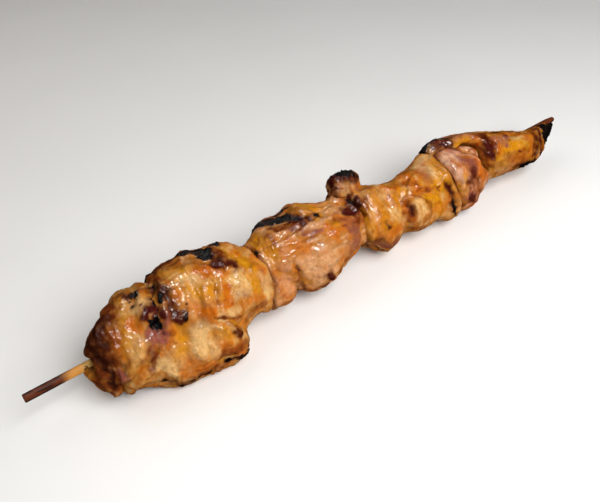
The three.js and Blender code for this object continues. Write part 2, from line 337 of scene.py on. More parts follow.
for stain in ("toasted", "browned", "burnt"):
    amount = add_node(bamboo, "Attribute", attribute_name=stain).outputs["Fac"]
    uneven = add_node(bamboo, "Math", {0: strand, 1: 0.5}, operation="SUBTRACT").outputs[0]
    edge_sum = {0: uneven, 1: 0.9, 2: amount}
    edge_value = add_node(bamboo, "Math", edge_sum, operation="MULTIPLY_ADD").outputs[0]
    edge_range = {"Value": edge_value, "From Min": 0.2, "From Max": 0.8}
    cover = add_node(bamboo, "MapRange", edge_range).outputs["Result"]
    layer = {FACTOR: cover, FIRST: tint, SECOND: linear(BAMBOO_COLOURS[stain])}
    tint = add_node(bamboo, "Mix", layer, **MIX_COLOURS).outputs[MIXED]
hair = {"Height": strand, "Strength": 0.7, "Distance": 0.08 * MM}
hairy = add_node(bamboo, "Bump", hair).outputs["Normal"]
finish = {"Base Color": tint, "Roughness": 0.62, "Specular IOR Level": 0.2, "Normal": hairy}
surface = add_node(bamboo, "BsdfPrincipled", finish)
add_node(bamboo, "OutputMaterial", {"Surface": surface.outputs["BSDF"]})
stick.data.materials.append(bamboo)
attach(stick, "root")
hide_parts("bamboo_skewer")

# ----------------------------------------------------------- the first lump of chicken
# A piece of skinless thigh folded like a cap over the skewer, its rounded lip below. It
# was marinated in oil and spice and grilled: the end that faced the fire is charred, and
# its dark near end face is partly painted shade.
SKIN_GRID = 0.36  # mm between the points of the modelled skin
SETTLING = 26  # rounds of smoothing that take the solid's flat facets away
COATS = ("pale", "gold", "orange", "sear_and_shade", "mauve", "scorch_and_shade", "liver", "char")  # lowest first
BURNT = ("liver", "char")
# The rim round a burn: how much wider and softer than it each coat is, and its share.
BURNT_RIM = {"scorch_and_shade": (0, 0.9, 0.6), "sear_and_shade": (0.4, 2.2, 0.85)}
TO_STICK = 0.03  # how close the meat lies to the wood
FAR_PATCHES = (  # coat, mm apart, noise at which it begins and is full, amount
    ("gold", 9, 0.0, 0.4, 0.7),
    ("orange", 8, 0.05, 0.45, 0.8),
    ("pale", 6, 0.15, 0.5, 0.6),
    ("mauve", 9, 0.2, 0.6, 0.5),
    ("sear_and_shade", 8, 0.15, 0.55, 0.9),
    ("scorch_and_shade", 7, 0.35, 0.7, 0.9),
    ("liver", 8, 0.4, 0.7, 0.8),
)
MARKED_MIDDLE = 40  # the angle round which marks are laid
FAR_SIDE = (85, 115)  # degrees off that angle where the patches begin, and are full
ROUTE_STEP = 0.7  # mm between the points of a route
DEGREES_PER_MM = 4  # round a lump of usual thickness
OUTSIDE = 60  # mm from the skewer, clear of every lump
MEAN_RADIUS = 12  # of a lump
FLAP_EDGE = 0.35  # mm in which a flap's edge drops
ROOM_LOOKED_AT = 4.5  # mm, how far off a neighbour is still felt
NARROW_GAP = (4.2, 2.0)  # mm to a neighbour where the meat begins to fill the gap, and fills it
GAP_FILLED = 0.55  # the share of the gap that it fills
SWELL_ROOM = 3  # mm to a neighbour that a swelling needs
STICK_PULL = 0.8  # mm from the stick at which the meat is drawn on to it
BARED_RADIUS = 0.8 * STICK_RADIUS  # meat that is drawn under the stick's surface
AROUND, ALONG = (1, 6, 6), (6, 1, 1)  # how the fibres run: the pattern's stretch in x, y, z
GRAIN_WANDER = 2.4  # mm that the fibres stray from straight
# The relief of the cooked meat, in mm from one swelling, fold or thread to the next.
DRIFT_PITCH = 13
SWELL_PITCHES = (8, 4.5)
CREASED_PITCH = 7
BUNDLE_PITCH = 4.2
WRINKLE_PITCHES = (2.1, 2.4)  # sharp where the skin is creased, and soft elsewhere
FIBRE_PITCHES = (0.8, 0.45)
PIMPLE_PITCHES = (1.0, 1.7)
PIMPLE_DEPTHS = (0.08, 0.12)
GRIT_PITCHES = (1.5, 0.8)
EVENING = 30  # rounds of smoothing that show what stands proud
PROUD = 0.35  # mm over its surroundings that counts as fully proud
LUMPS = sorted(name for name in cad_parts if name.startswith("chicken"))


def spot(along, angle, out):
    """The point at a distance out from the skewer's axis."""
    turn = np.radians(angle)
    return np.array([along, -out * np.sin(turn), out * np.cos(turn)])


def read_skin(flesh):
    """Takes the points, the normals and a ray-casting tree from the mesh."""
    flesh.places = places_of(flesh.piece)
    normals = np.empty(3 * len(flesh.places))
    flesh.piece.data.vertices.foreach_get("normal", normals)
    flesh.normals = normals.reshape(-1, 3)


def raw_flesh(name, node, settling=SETTLING):
    """Lays a fine smooth skin over a lump's solid, ready to be shaped and browned."""
    piece = bpy.data.objects.new(name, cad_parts[node].data.copy())
    bpy.context.scene.collection.objects.link(piece)
    bpy.ops.object.select_all(action="DESELECT")
    piece.select_set(True)
    bpy.context.view_layer.objects.active = piece
    bpy.ops.object.mode_set(mode="EDIT")
    bpy.ops.mesh.select_all(action="SELECT")
    bpy.ops.mesh.remove_doubles(threshold=0.001 * MM)
    bpy.ops.object.mode_set(mode="OBJECT")
    skin = piece.modifiers.new("skin", "REMESH")
    skin.mode = "VOXEL"
    skin.voxel_size = SKIN_GRID * MM
    skin.use_smooth_shade = True
    bpy.ops.object.modifier_apply(modifier=skin.name)
    settle = piece.modifiers.new("settle", "SMOOTH")
    settle.factor = 0.5
    settle.iterations = settling
    bpy.ops.object.modifier_apply(modifier=settle.name)
    piece.data.materials.clear()

    flesh = SimpleNamespace(piece=piece, node=node)
    read_skin(flesh)
    count = len(flesh.places)
    ends = np.empty(2 * len(piece.data.edges), dtype=np.int32)
    piece.data.edges.foreach_get("vertices", ends)
    flesh.edges = ends.reshape(-1, 2).T
    flesh.degree = np.bincount(flesh.edges.ravel(), minlength=count)
    flesh.faces = [tuple(face.vertices) for face in piece.data.polygons]
    flesh.tree = BVHTree.FromPolygons(flesh.places.tolist(), flesh.faces)
    flesh.rise = np.zeros(count)
    flesh.bare = np.zeros(count, dtype=bool)
    flesh.coats = {coat_name: np.zeros(count) for coat_name in (*COATS, "wet")}
    return flesh


def settled(flesh, values, rounds):
    """The values evened out over the neighbouring points."""
    a, b = flesh.edges
    count = len(flesh.places)
    for _ in range(rounds):
        total = np.bincount(a, values[b], count) + np.bincount(b, values[a], count)
        values = (values + total / flesh.degree) / 2
    return values


def angles_of(places):
    """The angle of each point round the skewer."""
    return np.degrees(np.arctan2(-places[:, 1], places[:, 2]))


def reshape(flesh, places):
    """Moves the skin to new places before its marks are laid."""
    move_to(flesh.piece, places)
    read_skin(flesh)
    flesh.tree = BVHTree.FromPolygons(flesh.places.tolist(), flesh.faces)


def grab(flesh, grabs):
    """Draws the meat along, in grabs, each a place on the skin or a point in mm, the width
    of meat that follows, and the offset in mm."""
    for place, width, offset in grabs:
        centre = np.array(place) if len(place) == 3 else laid(flesh, [place])[0]
        weight = np.exp(-(((flesh.places - centre) / width) ** 2).sum(1))
        reshape(flesh, flesh.places + weight[:, None] * np.array(offset))


def bare(flesh, start, end):
    """Draws the meat down until the top of the stick stands out of it."""
    places = flesh.places.copy()
    angle = angles_of(places)
    over = step(angle, 75, 20) * step(angle, -165, -120)
    drawn = over * np.clip((places[:, 0] - start) / (end - start), 0, 1) ** 2
    out = np.hypot(places[:, 1], places[:, 2])
    flesh.bare = (drawn > 0.9) | (drawn * (out - BARED_RADIUS) > out - STICK_RADIUS)
    places[:, 1:] *= (1 - drawn * (1 - BARED_RADIUS / out))[:, None]
    reshape(flesh, places)


def laid(flesh, route):
    """Lays a route of [along, angle] places on the skin, as points under 0.8 mm apart."""
    corners = np.array(route, dtype=float)
    steps = [corners[:1]]
    for start, end in zip(corners, corners[1:]):
        length = np.hypot(end[0] - start[0], (end[1] - start[1]) / DEGREES_PER_MM)
        parts = max(1, int(length / ROUTE_STEP))
        steps.append(start + (end - start) * np.linspace(0, 1, parts + 1)[1:, None])
    points = []
    for along, angle in np.concatenate(steps):
        start = spot(along, angle, OUTSIDE)
        hit = flesh.tree.ray_cast(start.tolist(), (spot(along, angle, 0) - start).tolist())[0]
        if hit is None:
            hit = flesh.tree.find_nearest(spot(along, angle, MEAN_RADIUS).tolist())[0]
        points.append(hit)
    return np.array(points)


def reach(flesh, route, limit):
    """The points within a distance of a route, their distances and nearest route points."""
    line = laid(flesh, route)
    boxed = (flesh.places > line.min(0) - limit) & (flesh.places < line.max(0) + limit)
    near = np.flatnonzero(boxed.all(1))
    places = flesh.places[near]
    best = np.full(len(near), np.inf)
    nearest = np.zeros(len(near), dtype=int)
    for index, point in enumerate(line):
        squared = ((places - point) ** 2).sum(1)
        closer = squared < best
        best[closer] = squared[closer]
        nearest[closer] = index
    return near, np.sqrt(best), line, nearest


def ridge(flesh, ridges):
    """Raises the skin in ridges, each a height and width and the [along, angle] places on
    its route. A height under 0 sinks a crease."""
    for height, width, *route in ridges:
        near, distance, _, _ = reach(flesh, route, 2.8 * width)
        distance *= 1 + 0.25 * noise(flesh.places[near], 2 * width, 11)
        flesh.rise[near] += height * np.exp(-((distance / width) ** 2))


def flap(flesh, flaps):
    """Lays the skin on the left of a route over that on its right, listed like ridges."""
    for height, width, *route in flaps:
        near, distance, line, nearest = reach(flesh, route, 2.5 * width)
        last = len(line) - 1
        ahead = line[np.minimum(nearest + 1, last)] - line[np.maximum(nearest - 1, 0)]
        ahead /= np.maximum(np.linalg.norm(ahead, axis=1, keepdims=True), 1e-6)
        left = np.cross(flesh.normals[near], ahead)
        side = ((flesh.places[near] - line[nearest]) * left).sum(1)
        side += 0.4 * noise(flesh.places[near], 2.5, 21)
        fade = np.clip(np.minimum(nearest, last - nearest) / (0.2 * last), 0, 1)
        edge = np.tanh(side / FLAP_EDGE)
        raised = edge * np.exp(-((distance / width) ** 2))
        sunk = 0.7 * edge * np.exp(-((distance / (0.45 * width)) ** 2))
        flesh.rise[near] += height * fade * np.where(side > 0, raised, sunk)


def paint(flesh, coat_name, strokes):
    """Lays a coat on the skin in strokes, each a width, the width of its soft edge, an
    amount and the [along, angle] places on its route. What is burnt gets a browned rim."""
    for width, soft, amount, *route in strokes:
        ragged = 0.25 + 0.18 * soft
        near, distance, _, _ = reach(flesh, route, width + soft + 2 * ragged)
        places = flesh.places[near]
        distance += ragged * (noise(places, 2.6, 12) + 0.6 * noise(places, 1.2, 13))
        cover = amount * (1 - step(distance, width - soft / 2, width + soft / 2))
        flesh.coats[coat_name][near] = np.maximum(flesh.coats[coat_name][near], cover)
        if coat_name in BURNT:
            for rim, (wider, softer, share) in BURNT_RIM.items():
                paint(flesh, rim, [(width + wider, soft + softer, share * amount, *route)])


def brown_far_side(flesh):
    """Browns the skin in patches where no marks are laid, to look like the rest."""
    off_middle = np.abs((angles_of(flesh.places) - MARKED_MIDDLE + 180) % 360 - 180)
    far = step(off_middle, *FAR_SIDE)
    for seed, (coat_name, pitch, start, end, amount) in enumerate(FAR_PATCHES, 50):
        patches = amount * far * step(noise(flesh.places, pitch, seed), start, end)
        flesh.coats[coat_name] = np.maximum(flesh.coats[coat_name], patches)


def room_round(flesh):
    """How far each point is from the nearest other lump."""
    clear = np.full(len(flesh.places), ROOM_LOOKED_AT)
    for other in LUMPS:
        if other == flesh.node:
            continue
        low, high = ((np.array(corner) - blunt_end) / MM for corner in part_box(other))
        near = (flesh.places > low - ROOM_LOOKED_AT) & (flesh.places < high + ROOM_LOOKED_AT)
        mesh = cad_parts[other].data
        corners = (np.array([vertex.co for vertex in mesh.vertices]) - blunt_end) / MM
        faces = [tuple(face.vertices) for face in mesh.polygons]
        tree = BVHTree.FromPolygons(corners.tolist(), faces)
        for index in np.flatnonzero(near.all(1)):
            gap = tree.find_nearest(flesh.places[index].tolist(), ROOM_LOOKED_AT)[3]
            if gap is not None:
                clear[index] = min(clear[index], gap)
    return clear


def cook(flesh, stretch, swell=0.5, bundle=0.5, wrinkle=0.28, strand=0.07, crust=0.6):
    """Draws the meat together: lumps, wrinkles and fibres, inside the room that it has."""
    brown_far_side(flesh)
    start = flesh.places
    clear = room_round(flesh)
    drift = np.stack([noise(start, DRIFT_PITCH, seed) for seed in (31, 32, 33)], 1)
    grain = (start + GRAIN_WANDER * drift) / stretch
    loose = (start + GRAIN_WANDER * drift) / np.sqrt(stretch)

    # Broad swellings, and bundles of meat that are rounded, with sharp valleys between.
    flesh.rise += swell * noise(start, SWELL_PITCHES[0], 1)
    flesh.rise += 0.5 * swell * noise(start, SWELL_PITCHES[1], 2)
    flesh.rise += bundle * (0.5 - 1.8 * np.abs(noise(loose, BUNDLE_PITCH, 3)))
    room = np.where(flesh.rise > 0, np.clip(clear / SWELL_ROOM, 0, 1), 1)
    pressed = GAP_FILLED * clear * step(clear, *NARROW_GAP)
    move_to(flesh.piece, start + flesh.normals * (flesh.rise * room + pressed)[:, None])
    read_skin(flesh)

    creased = step(noise(start, CREASED_PITCH, 4), -0.35, 0.3)
    fine = wrinkle * creased * (0.5 - 2 * np.abs(noise(loose, WRINKLE_PITCHES[0], 5)))
    fine += 0.6 * wrinkle * (1 - creased) * noise(start, WRINKLE_PITCHES[1], 14)
    fine += strand * noise(grain, FIBRE_PITCHES[0], 6)
    fine += 0.6 * strand * noise(grain, FIBRE_PITCHES[1], 7)
    for pitch, depth, seed in zip(PIMPLE_PITCHES, PIMPLE_DEPTHS, (8, 15)):
        fine += depth * noise(start, pitch, seed)
    grit = np.abs(noise(start, GRIT_PITCHES[0], 9)) + 0.6 * noise(start, GRIT_PITCHES[1], 10)
    burnt = np.maximum(flesh.coats["char"], 0.5 * flesh.coats["liver"])
    fine += crust * burnt * grit
    room = np.where(fine > 0, np.clip(clear, 0, 1), 1)
    places = flesh.places + flesh.normals * (fine * room)[:, None]

    out = np.hypot(places[:, 1], places[:, 2])
    snug = STICK_RADIUS + TO_STICK
    drawn = np.where(out < snug + STICK_PULL, snug, out)
    drawn = np.where(flesh.bare, BARED_RADIUS, np.maximum(drawn, snug))
    places[:, 1:] *= (drawn / np.maximum(out, 0.1))[:, None]
    floor = (cad_box[0].z - blunt_end.z) / MM
    places[:, 2] = np.maximum(places[:, 2], floor)
    move_to(flesh.piece, places)
    read_skin(flesh)

    even = np.stack([settled(flesh, flesh.places[:, axis], EVENING) for axis in range(3)], 1)
    proud = ((flesh.places - even) * flesh.normals).sum(1)
    for coat_name, amounts in flesh.coats.items():
        coat(flesh.piece, coat_name, amounts)
    coat(flesh.piece, "proud", proud / PROUD)
    vectors = flesh.piece.data.attributes.new("grain", "FLOAT_VECTOR", "POINT")
    vectors.data.foreach_set("vector", grain.astype(np.float32).ravel())


# Grilled chicken thigh, glazed with marinade and its own fat: moist golden meat that
# light enters a little, under a thin wet gloss; glaze caramelised gold and orange, browned
# where it stands proud, dark and sticky as liver and then black and gritty where it burnt.
MEAT_COLOURS = {
    "flesh": "#A4641F",
    "light": "#BA782F",
    "pale": "#D0A468",
    "gold": "#C07C08",
    "orange": "#B45C08",
    "mauve": "#86483A",
    # The sear and scorch browns are real browning and char, and in places also painted shade: on
    # the first lump's near end face, in the valley between the first two lumps and on the third
    # lump's far end.
    "sear_and_shade": "#6C2D08",
    "scorch_and_shade": "#3A1506",
    "liver": "#420E08",
    "char": "#070403",
}
# The patterns of the meat: along its grain or not, mm from one mark to the next, detail.
MEAT_PATTERNS = {
    "blotch": (False, 5.5, 1),
    "glaze pool": (False, 3.7, 1),
    "fat streak": (True, 2.4, 1),
    "fat cloud": (False, 3.1, 1),
    "ragged edge": (False, 2.2, 1),
    "thread": (True, 0.8, 2),
    "fine thread": (True, 0.6, 2),
    "mottle": (False, 1.1, 1),
    "pore": (False, 0.9, 2),
    "grit": (False, 0.9, 4),
    "juice bead": (False, 1.4, 1),
    "juice pool": (False, 6, 1),
}
# Where a pattern's noise begins and ends, and the amounts that those stand for.
PATTERN_AMOUNTS = {
    "blotch": (0.35, 0.65, 0, 1),
    "glaze pool": (0.43, 0.72, 0, 0.75),
    "ragged edge": (0.3, 0.7, -0.5, 0.5),
    "thread": (0.3, 0.7, 0.94, 1.06),
    "mottle": (0.3, 0.7, 0.92, 1.08),
    "juice pool": (0.35, 0.65, 0.32, 0.68),
}
DULLING = {"sear_and_shade": 0.8, "scorch_and_shade": 1, "char": 0.8}  # how far each coat dries the glaze
SMOOTH = {"interpolation_type": "SMOOTHSTEP"}


def span(value, start, end, low=0, high=1):
    """The inputs that run a value smoothly from low at start to high at end."""
    return {"Value": value, "From Min": start, "From Max": end, "To Min": low, "To Max": high}


def grilled_chicken(name, **own_colours):
    """The meat's material. A lump may have its own colours."""
    hues = {hue: linear(value) for hue, value in {**MEAT_COLOURS, **own_colours}.items()}
    meat, place = new_material(name)
    grain = add_node(meat, "Attribute", attribute_name="grain").outputs["Vector"]
    stored = {}
    for layer in (*COATS, "wet", "proud"):
        stored[layer] = add_node(meat, "Attribute", attribute_name=layer).outputs["Fac"]
    pattern = {}
    for mark, (along_grain, pitch, detail) in MEAT_PATTERNS.items():
        marks = {"Vector": grain if along_grain else place, "Scale": 1 / pitch, "Detail": detail}
        pattern[mark] = add_node(meat, "TexNoise", marks).outputs["Fac"]
    for mark, limits in PATTERN_AMOUNTS.items():
        amounts = span(pattern[mark], *limits)
        pattern[mark] = add_node(meat, "MapRange", amounts, **SMOOTH).outputs["Result"]
    ragged = pattern["ragged edge"]

    # Fat lies in creamy streaks, glaze gathers in the hollows, and what stands proud browns.
    fat = {0: pattern["fat streak"], 1: pattern["fat cloud"]}
    fatty = add_node(meat, "Math", fat, operation="MULTIPLY").outputs[0]
    creamy = add_node(meat, "MapRange", span(fatty, 0.2, 0.44, 0, 0.75), **SMOOTH)
    hollow = span(stored["proud"], 0.1, -1.1, 0, 0.6)
    gathered = add_node(meat, "MapRange", hollow, **SMOOTH)
    top = {0: ragged, 1: 1.6, 2: stored["proud"]}
    uneven_top = add_node(meat, "Math", top, operation="MULTIPLY_ADD").outputs[0]
    browned = add_node(meat, "MapRange", span(uneven_top, 0.5, 1.6, 0, 0.4), **SMOOTH)

    covers = {}
    for coat_name in COATS[:-1]:
        amount = stored[coat_name]
        thickness = {0: amount, 1: ragged}
        uneven = add_node(meat, "Math", thickness, operation="MULTIPLY").outputs[0]
        edge = {0: uneven, 1: 0.6, 2: amount}
        cover = add_node(meat, "Math", edge, operation="MULTIPLY_ADD", use_clamp=True)
        covers[coat_name] = cover.outputs[0]
    char_edge = {0: ragged, 1: 0.6, 2: stored["char"]}
    charred = add_node(meat, "Math", char_edge, operation="MULTIPLY_ADD").outputs[0]
    cracked = add_node(meat, "MapRange", span(charred, 0.15, 0.85), **SMOOTH)
    covers["char"] = cracked.outputs["Result"]

    layers = [(pattern["blotch"], "light"), (pattern["glaze pool"], "orange")]
    layers += [(creamy.outputs["Result"], "pale"), (gathered.outputs["Result"], "gold")]
    for coat_name in COATS:
        if coat_name == "sear_and_shade":
            layers.append((browned.outputs["Result"], "sear_and_shade"))
        layers.append((covers[coat_name], coat_name))
    colour = hues["flesh"]
    for cover, hue in layers:
        laid_over = {FACTOR: cover, FIRST: colour, SECOND: hues[hue]}
        colour = add_node(meat, "Mix", laid_over, **MIX_COLOURS).outputs[MIXED]
    shades = {0: pattern["thread"], 1: pattern["mottle"]}
    shade = add_node(meat, "Math", shades, operation="MULTIPLY").outputs[0]
    shaded = {0: colour, "Scale": shade}
    colour = add_node(meat, "VectorMath", shaded, operation="SCALE").outputs["Vector"]

    # The relief of the dry skin, each bump over the ones below, and the wet film over it.
    gritty = {0: pattern["grit"], 1: covers["char"]}
    grit = add_node(meat, "Math", gritty, operation="MULTIPLY").outputs[0]
    reliefs = {
        "threads": (pattern["fine thread"], 0.03),
        "pores": (pattern["pore"], 0.08),
        "grit": (grit, 0.7),
        "film": (pattern["juice bead"], 0.4),
    }
    normals = {}
    below = {}
    for relief, (height, depth) in reliefs.items():
        bump = {"Height": height, "Strength": 1, "Distance": depth * MM, **below}
        normals[relief] = add_node(meat, "Bump", bump).outputs["Normal"]
        below = {"Normal": normals[relief]}

    dry = 0
    for coat_name, dulling in DULLING.items():
        cover = {0: covers[coat_name], 1: dulling}
        dulled = add_node(meat, "Math", cover, operation="MULTIPLY").outputs[0]
        dry = add_node(meat, "Math", {0: dry, 1: dulled}, operation="MAXIMUM").outputs[0]
    juice = {0: stored["wet"], 1: 0.5, 2: pattern["juice pool"]}
    wet = add_node(meat, "Math", juice, operation="MULTIPLY_ADD").outputs[0]
    moist = add_node(meat, "MapRange", span(dry, 0.3, 0.95, 1, 0.08), **SMOOTH)
    glaze = {0: wet, 1: moist.outputs["Result"]}
    roughness = add_node(meat, "MapRange", span(covers["char"], 0.2, 0.9, 0.4, 0.6), **SMOOTH)
    finish = {
        "Base Color": colour,
        "Roughness": roughness.outputs["Result"],
        "IOR": 1.45,
        "Subsurface Weight": 0.22,
        "Subsurface Radius": (1, 0.4, 0.2),
        "Subsurface Scale": 1.4 * MM,
        "Specular IOR Level": 0.15,
        "Coat Weight": add_node(meat, "Math", glaze, operation="MULTIPLY").outputs[0],
        "Coat Roughness": 0.18,
        "Coat IOR": 1.45,
        "Normal": normals["grit"],
        "Coat Normal": normals["film"],
    }
    surface = add_node(meat, "BsdfPrincipled", finish)
    add_node(meat, "OutputMaterial", {"Surface": surface.outputs["BSDF"]})
    return meat


cap = raw_flesh("cap_fold", "chicken_1_cap_fold")
slab = raw_flesh("thigh_slab", "chicken_2_thigh_slab")
grab(slab, [
    ((71, 112), 3.2, (1.2, -0.5, -0.4)),
    ((73, 103), 3, (-1.6, 0, 0)),
    ((30, 118), 4, (0, 0.4, 1.5)),
])
grab(cap, [
    ((20, 60), 3.2, (3.2, 0, 0)),
    ((21, -0.6, 2.2), 2.4, (3.6, 0, 1)),
    ((20.5, 3, 1.5), 3.2, (4.6, 0, 0.6)),
    ((21, 6, -1), 4.5, (4.5, 0, 0.6)),
    ((21.5, -3.6, 0), 2.2, (1.2, 0, -0.8)),
    ((23, 0, 6), 2.8, (-0.7, 0, -0.4)),
    ((27, 122), 3, (0, 0.2, 0.7)),
    ((21.5, 14), 3.2, (-1.2, 0, 2.2)),
])
ridge(cap, [
    (-1, 1.6, (23, 31), (24, 44), (24.5, 54)),
    (-1, 1.3, (29, 101), (33, 93), (37, 82), (41, 68)),
    (-0.7, 1.2, (22, 60), (25, 75), (27, 92)),
    (0.5, 1.2, (42, -13), (46, -9)),
])
flap(cap, [(0.6, 2.2, (43, 58), (43, 45), (42, 32), (43, 22))])
paint(cap, "pale", [
    (2, 3.5, 0.8, (39, -15), (38.5, -5)),
    (2.6, 4, 0.5, (37, 43), (35.5, 56)),
    (1.8, 2.5, 0.9, (44, 6), (46.5, 10), (47.5, 17)),
    (2.2, 3, 0.7, (38, -7), (40, 7), (43, 10)),
])
paint(cap, "gold", [
    (2, 3, 0.8, (36.5, -16), (36, -6), (34.5, 1)),
    (1.4, 2, 0.5, (45.5, 1), (47.5, 3)),
    (3, 3, 0.7, (20.5, 90), (21.5, 102), (23, 109)),
    (2.2, 3, 0.7, (36.5, -18), (38.5, -16), (39, -3)),
    (2.2, 3, 0.6, (36.5, 13), (34.5, 32), (31.5, 48)),
])
paint(cap, "orange", [
    (1.6, 2.5, 0.9, (38, 21), (39, 31)),
    (2, 3, 0.5, (27, 116), (34, 110)),
    (2.2, 3.5, 0.6, (32, 18), (29, 50)),
])
# The wide first stroke darkens the near end face: partly browning, partly painted shade on the
# side turned from the light.
paint(cap, "sear_and_shade", [
    (6.5, 5, 1, (32, -20), (27.5, 7), (25, 25), (23.5, 91)),
    (3.2, 5, 0.65, (32, 18), (29.5, 40), (28, 59)),
    (1.2, 2.5, 0.5, (32.5, 50), (32, 63)),
    (1.4, 2.5, 0.8, (34.5, -25), (37, -28), (40, -22)),
    (2, 3, 0.7, (45.5, -9), (49.5, -5)),
    (0.9, 1.5, 0.7, (24, 103), (29, 100), (33, 92), (37, 81), (40, 70)),
])
paint(cap, "mauve", [(1, 1.6, 0.8, (28.5, 72), (29.5, 84))])
# The broad strokes over the near end are partly char and partly painted shade; the two small
# dots are char.
paint(cap, "scorch_and_shade", [
    (2.4, 3, 1, (22, -90), (22, -20), (22.5, 8)),
    (4, 4.5, 1, (29.5, -6), (26, 8), (23.5, 15), (25, 30), (25, 49)),
    (2, 3, 0.9, (28, 28), (26, 48), (25, 63)),
    (1.2, 1.6, 0.9, (26, 68), (25.5, 105), (28, 95), (29.5, 92)),
    (0.35, 0.5, 1, (41, -4)),
    (0.3, 0.5, 0.9, (43.5, 12)),
])
paint(cap, "liver", [(0.7, 1, 0.9, (40.5, -15), (41.5, -11))])
paint(cap, "char", [
    (0.8, 1.5, 0.9, (42.5, -9), (44, -8), (44, -4)),
    (0.4, 0.5, 0.9, (41, 4)),
])
paint(cap, "wet", [
    (1.5, 3, 1, (38, -11), (42, 3)),
    (1.5, 3, 1, (42.5, 11), (48.5, 15)),
    (1.2, 2.5, 1, (44, 28), (46, 27)),
    (1.2, 2.5, 0.8, (37, 37), (38.5, 53)),
    (1.2, 2.5, 0.8, (35, 49), (34.5, 65)),
])
for lump in (cap, slab):  # what burst and burnt where the two are pressed together
    ridge(lump, [
        (1, 1.2, (43, 22), (45, 20), (47.5, 24), (48, 33)),
        (-1.8, 1.3, (45, 34), (45, 40)),
        (0.9, 1.4, (42.5, 47), (44, 54)),
        (0.8, 0.8, (50, 32), (49, 38), (47.5, 45)),
        (0.8, 0.9, (51, 43), (52.5, 48)),
    ])
    # In the valley and along the crease where the two lumps meet, these browns are partly
    # painted shade.
    paint(lump, "sear_and_shade", [
        (0.4, 1.2, 0.8, (40, 53), (39.5, 64), (36, 89)),
        (2, 3.5, 1, (52, 5), (52, 19), (51.5, 31)),
        (1, 1.6, 0.9, (43, 32), (41, 45), (40, 57)),
        (1.8, 2.5, 0.9, (40, 62), (39.5, 73)),
        (1, 1.8, 0.85, (42.5, 60), (39, 80)),
    ])
    paint(lump, "mauve", [
        (0.4, 1.2, 0.5, (40, 60), (39, 72)),
        (0.8, 1.2, 0.9, (44.5, 25), (46, 29)),
        (3, 1.6, 1, (43, 48), (44, 53)),
        (1.5, 1.5, 0.6, (49.5, 33), (49, 40), (47.5, 46)),
    ])
    # The dark band down the valley between the two lumps is partly painted shade.
    paint(lump, "scorch_and_shade", [
        (1.6, 3, 0.9, (51, -17), (51.5, 0), (52.5, 11)),
        (1.4, 3, 0.8, (52.5, 14), (51.5, 33)),
        (0.5, 1, 0.6, (39.5, 64), (38.5, 77)),
    ])
    paint(lump, "liver", [
        (1.1, 1.2, 1, (42.5, 25), (44, 21), (46, 21), (48, 26), (48, 34)),
        (0.4, 1, 0.7, (44, 45), (45.5, 52)),
        (1.7, 1.4, 1, (51, 42), (52, 46), (53, 41)),
    ])
    paint(lump, "char", [
        (0.8, 2, 0.8, (50.5, -17), (51.5, 1)),
        (0.9, 0.8, 1, (50.5, 12), (50, 18)),
        (1.5, 1.6, 1, (45, 35), (45, 40)),
        (0.9, 1.2, 0.8, (54, 40), (53.5, 47)),
    ])
cook(cap, AROUND)
cap.piece.data.materials.append(
    grilled_chicken("first lump, charred grilled chicken", flesh="#925616", light="#AA722A")
)
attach(cap.piece, "root")
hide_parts("chicken_1_cap_fold")

# ---------------------------------------------------------- the second lump of chicken
# The largest, a slab of thigh doubled over and spiked through both layers. Its lower edge
# hangs to the front, and its brow charred where it faced the fire.
ridge(slab, [
    (1.2, 1.9, (64, -25), (67, -22), (70, -20), (72, -16)),
    (0.9, 0.9, (75.5, -28), (77, -26)),
    (0.8, 1.6, (73, -14), (75, -9), (76, 2)),
    (-0.8, 1.2, (69, -3), (71, 8), (73, 17)),
    (0.7, 1.3, (74, 20), (76, 25), (79, 28)),
    (-0.9, 3.6, (53, 64), (55, 74)),
    (-0.5, 0.9, (44, 100), (50, 103), (56, 101)),
    (-0.9, 0.9, (68.5, 26), (66.5, 36), (65, 46), (64, 58)),
    (0.6, 1.6, (69, 34), (65.5, 62)),
    (0.6, 1.8, (65, 26), (62.5, 41), (61, 55)),
    (-0.6, 1.2, (60, 39), (58.5, 49), (57.5, 59)),
    (-1.1, 0.9, (63, 66), (66, 70), (68, 77), (71, 94)),
    (0.7, 1.6, (63, 74), (65.5, 78), (68, 88)),
    (-0.7, 1.2, (59, 73), (57, 82), (55.5, 92)),
    (0.8, 2.2, (55, 64), (53.5, 76), (53, 86)),
    (-0.5, 1.2, (50.5, 67), (49.5, 80), (49, 94)),
    (0.6, 1.5, (64, 95), (65.5, 105), (65.5, 112)),
    (0.5, 1.4, (75.5, 40), (77.5, 45), (79, 52)),
    (-0.6, 1, (71.5, 44), (73, 49), (74, 59), (76.5, 67)),
    (0.6, 0.8, (57, 9), (57.5, 12)),
    (0.6, 0.7, (58, 17), (58.2, 19)),
    (0.6, 0.8, (58, 24), (59, 27)),
    (0.6, 0.8, (71.5, 41), (72, 44)),
    (0.6, 0.8, (72, 50), (72.5, 53)),
    (0.6, 0.9, (75, 52), (76, 54)),
    (0.6, 0.7, (61, 69), (62.3, 73)),
    (0.7, 1.4, (67, 85), (68, 92)),
    (0.4, 0.6, (55.5, 4), (58, 1), (60.5, 1)),
    (0.35, 0.6, (54.5, 15), (57, 13), (59.5, 12)),
])
flap(slab, [
    (0.6, 2.5, (66, 100), (61, 100), (58, 92), (58, 80), (60, 70)),
    (0.5, 2.5, (84, 20), (80, 34), (80, 50), (78, 64)),
])
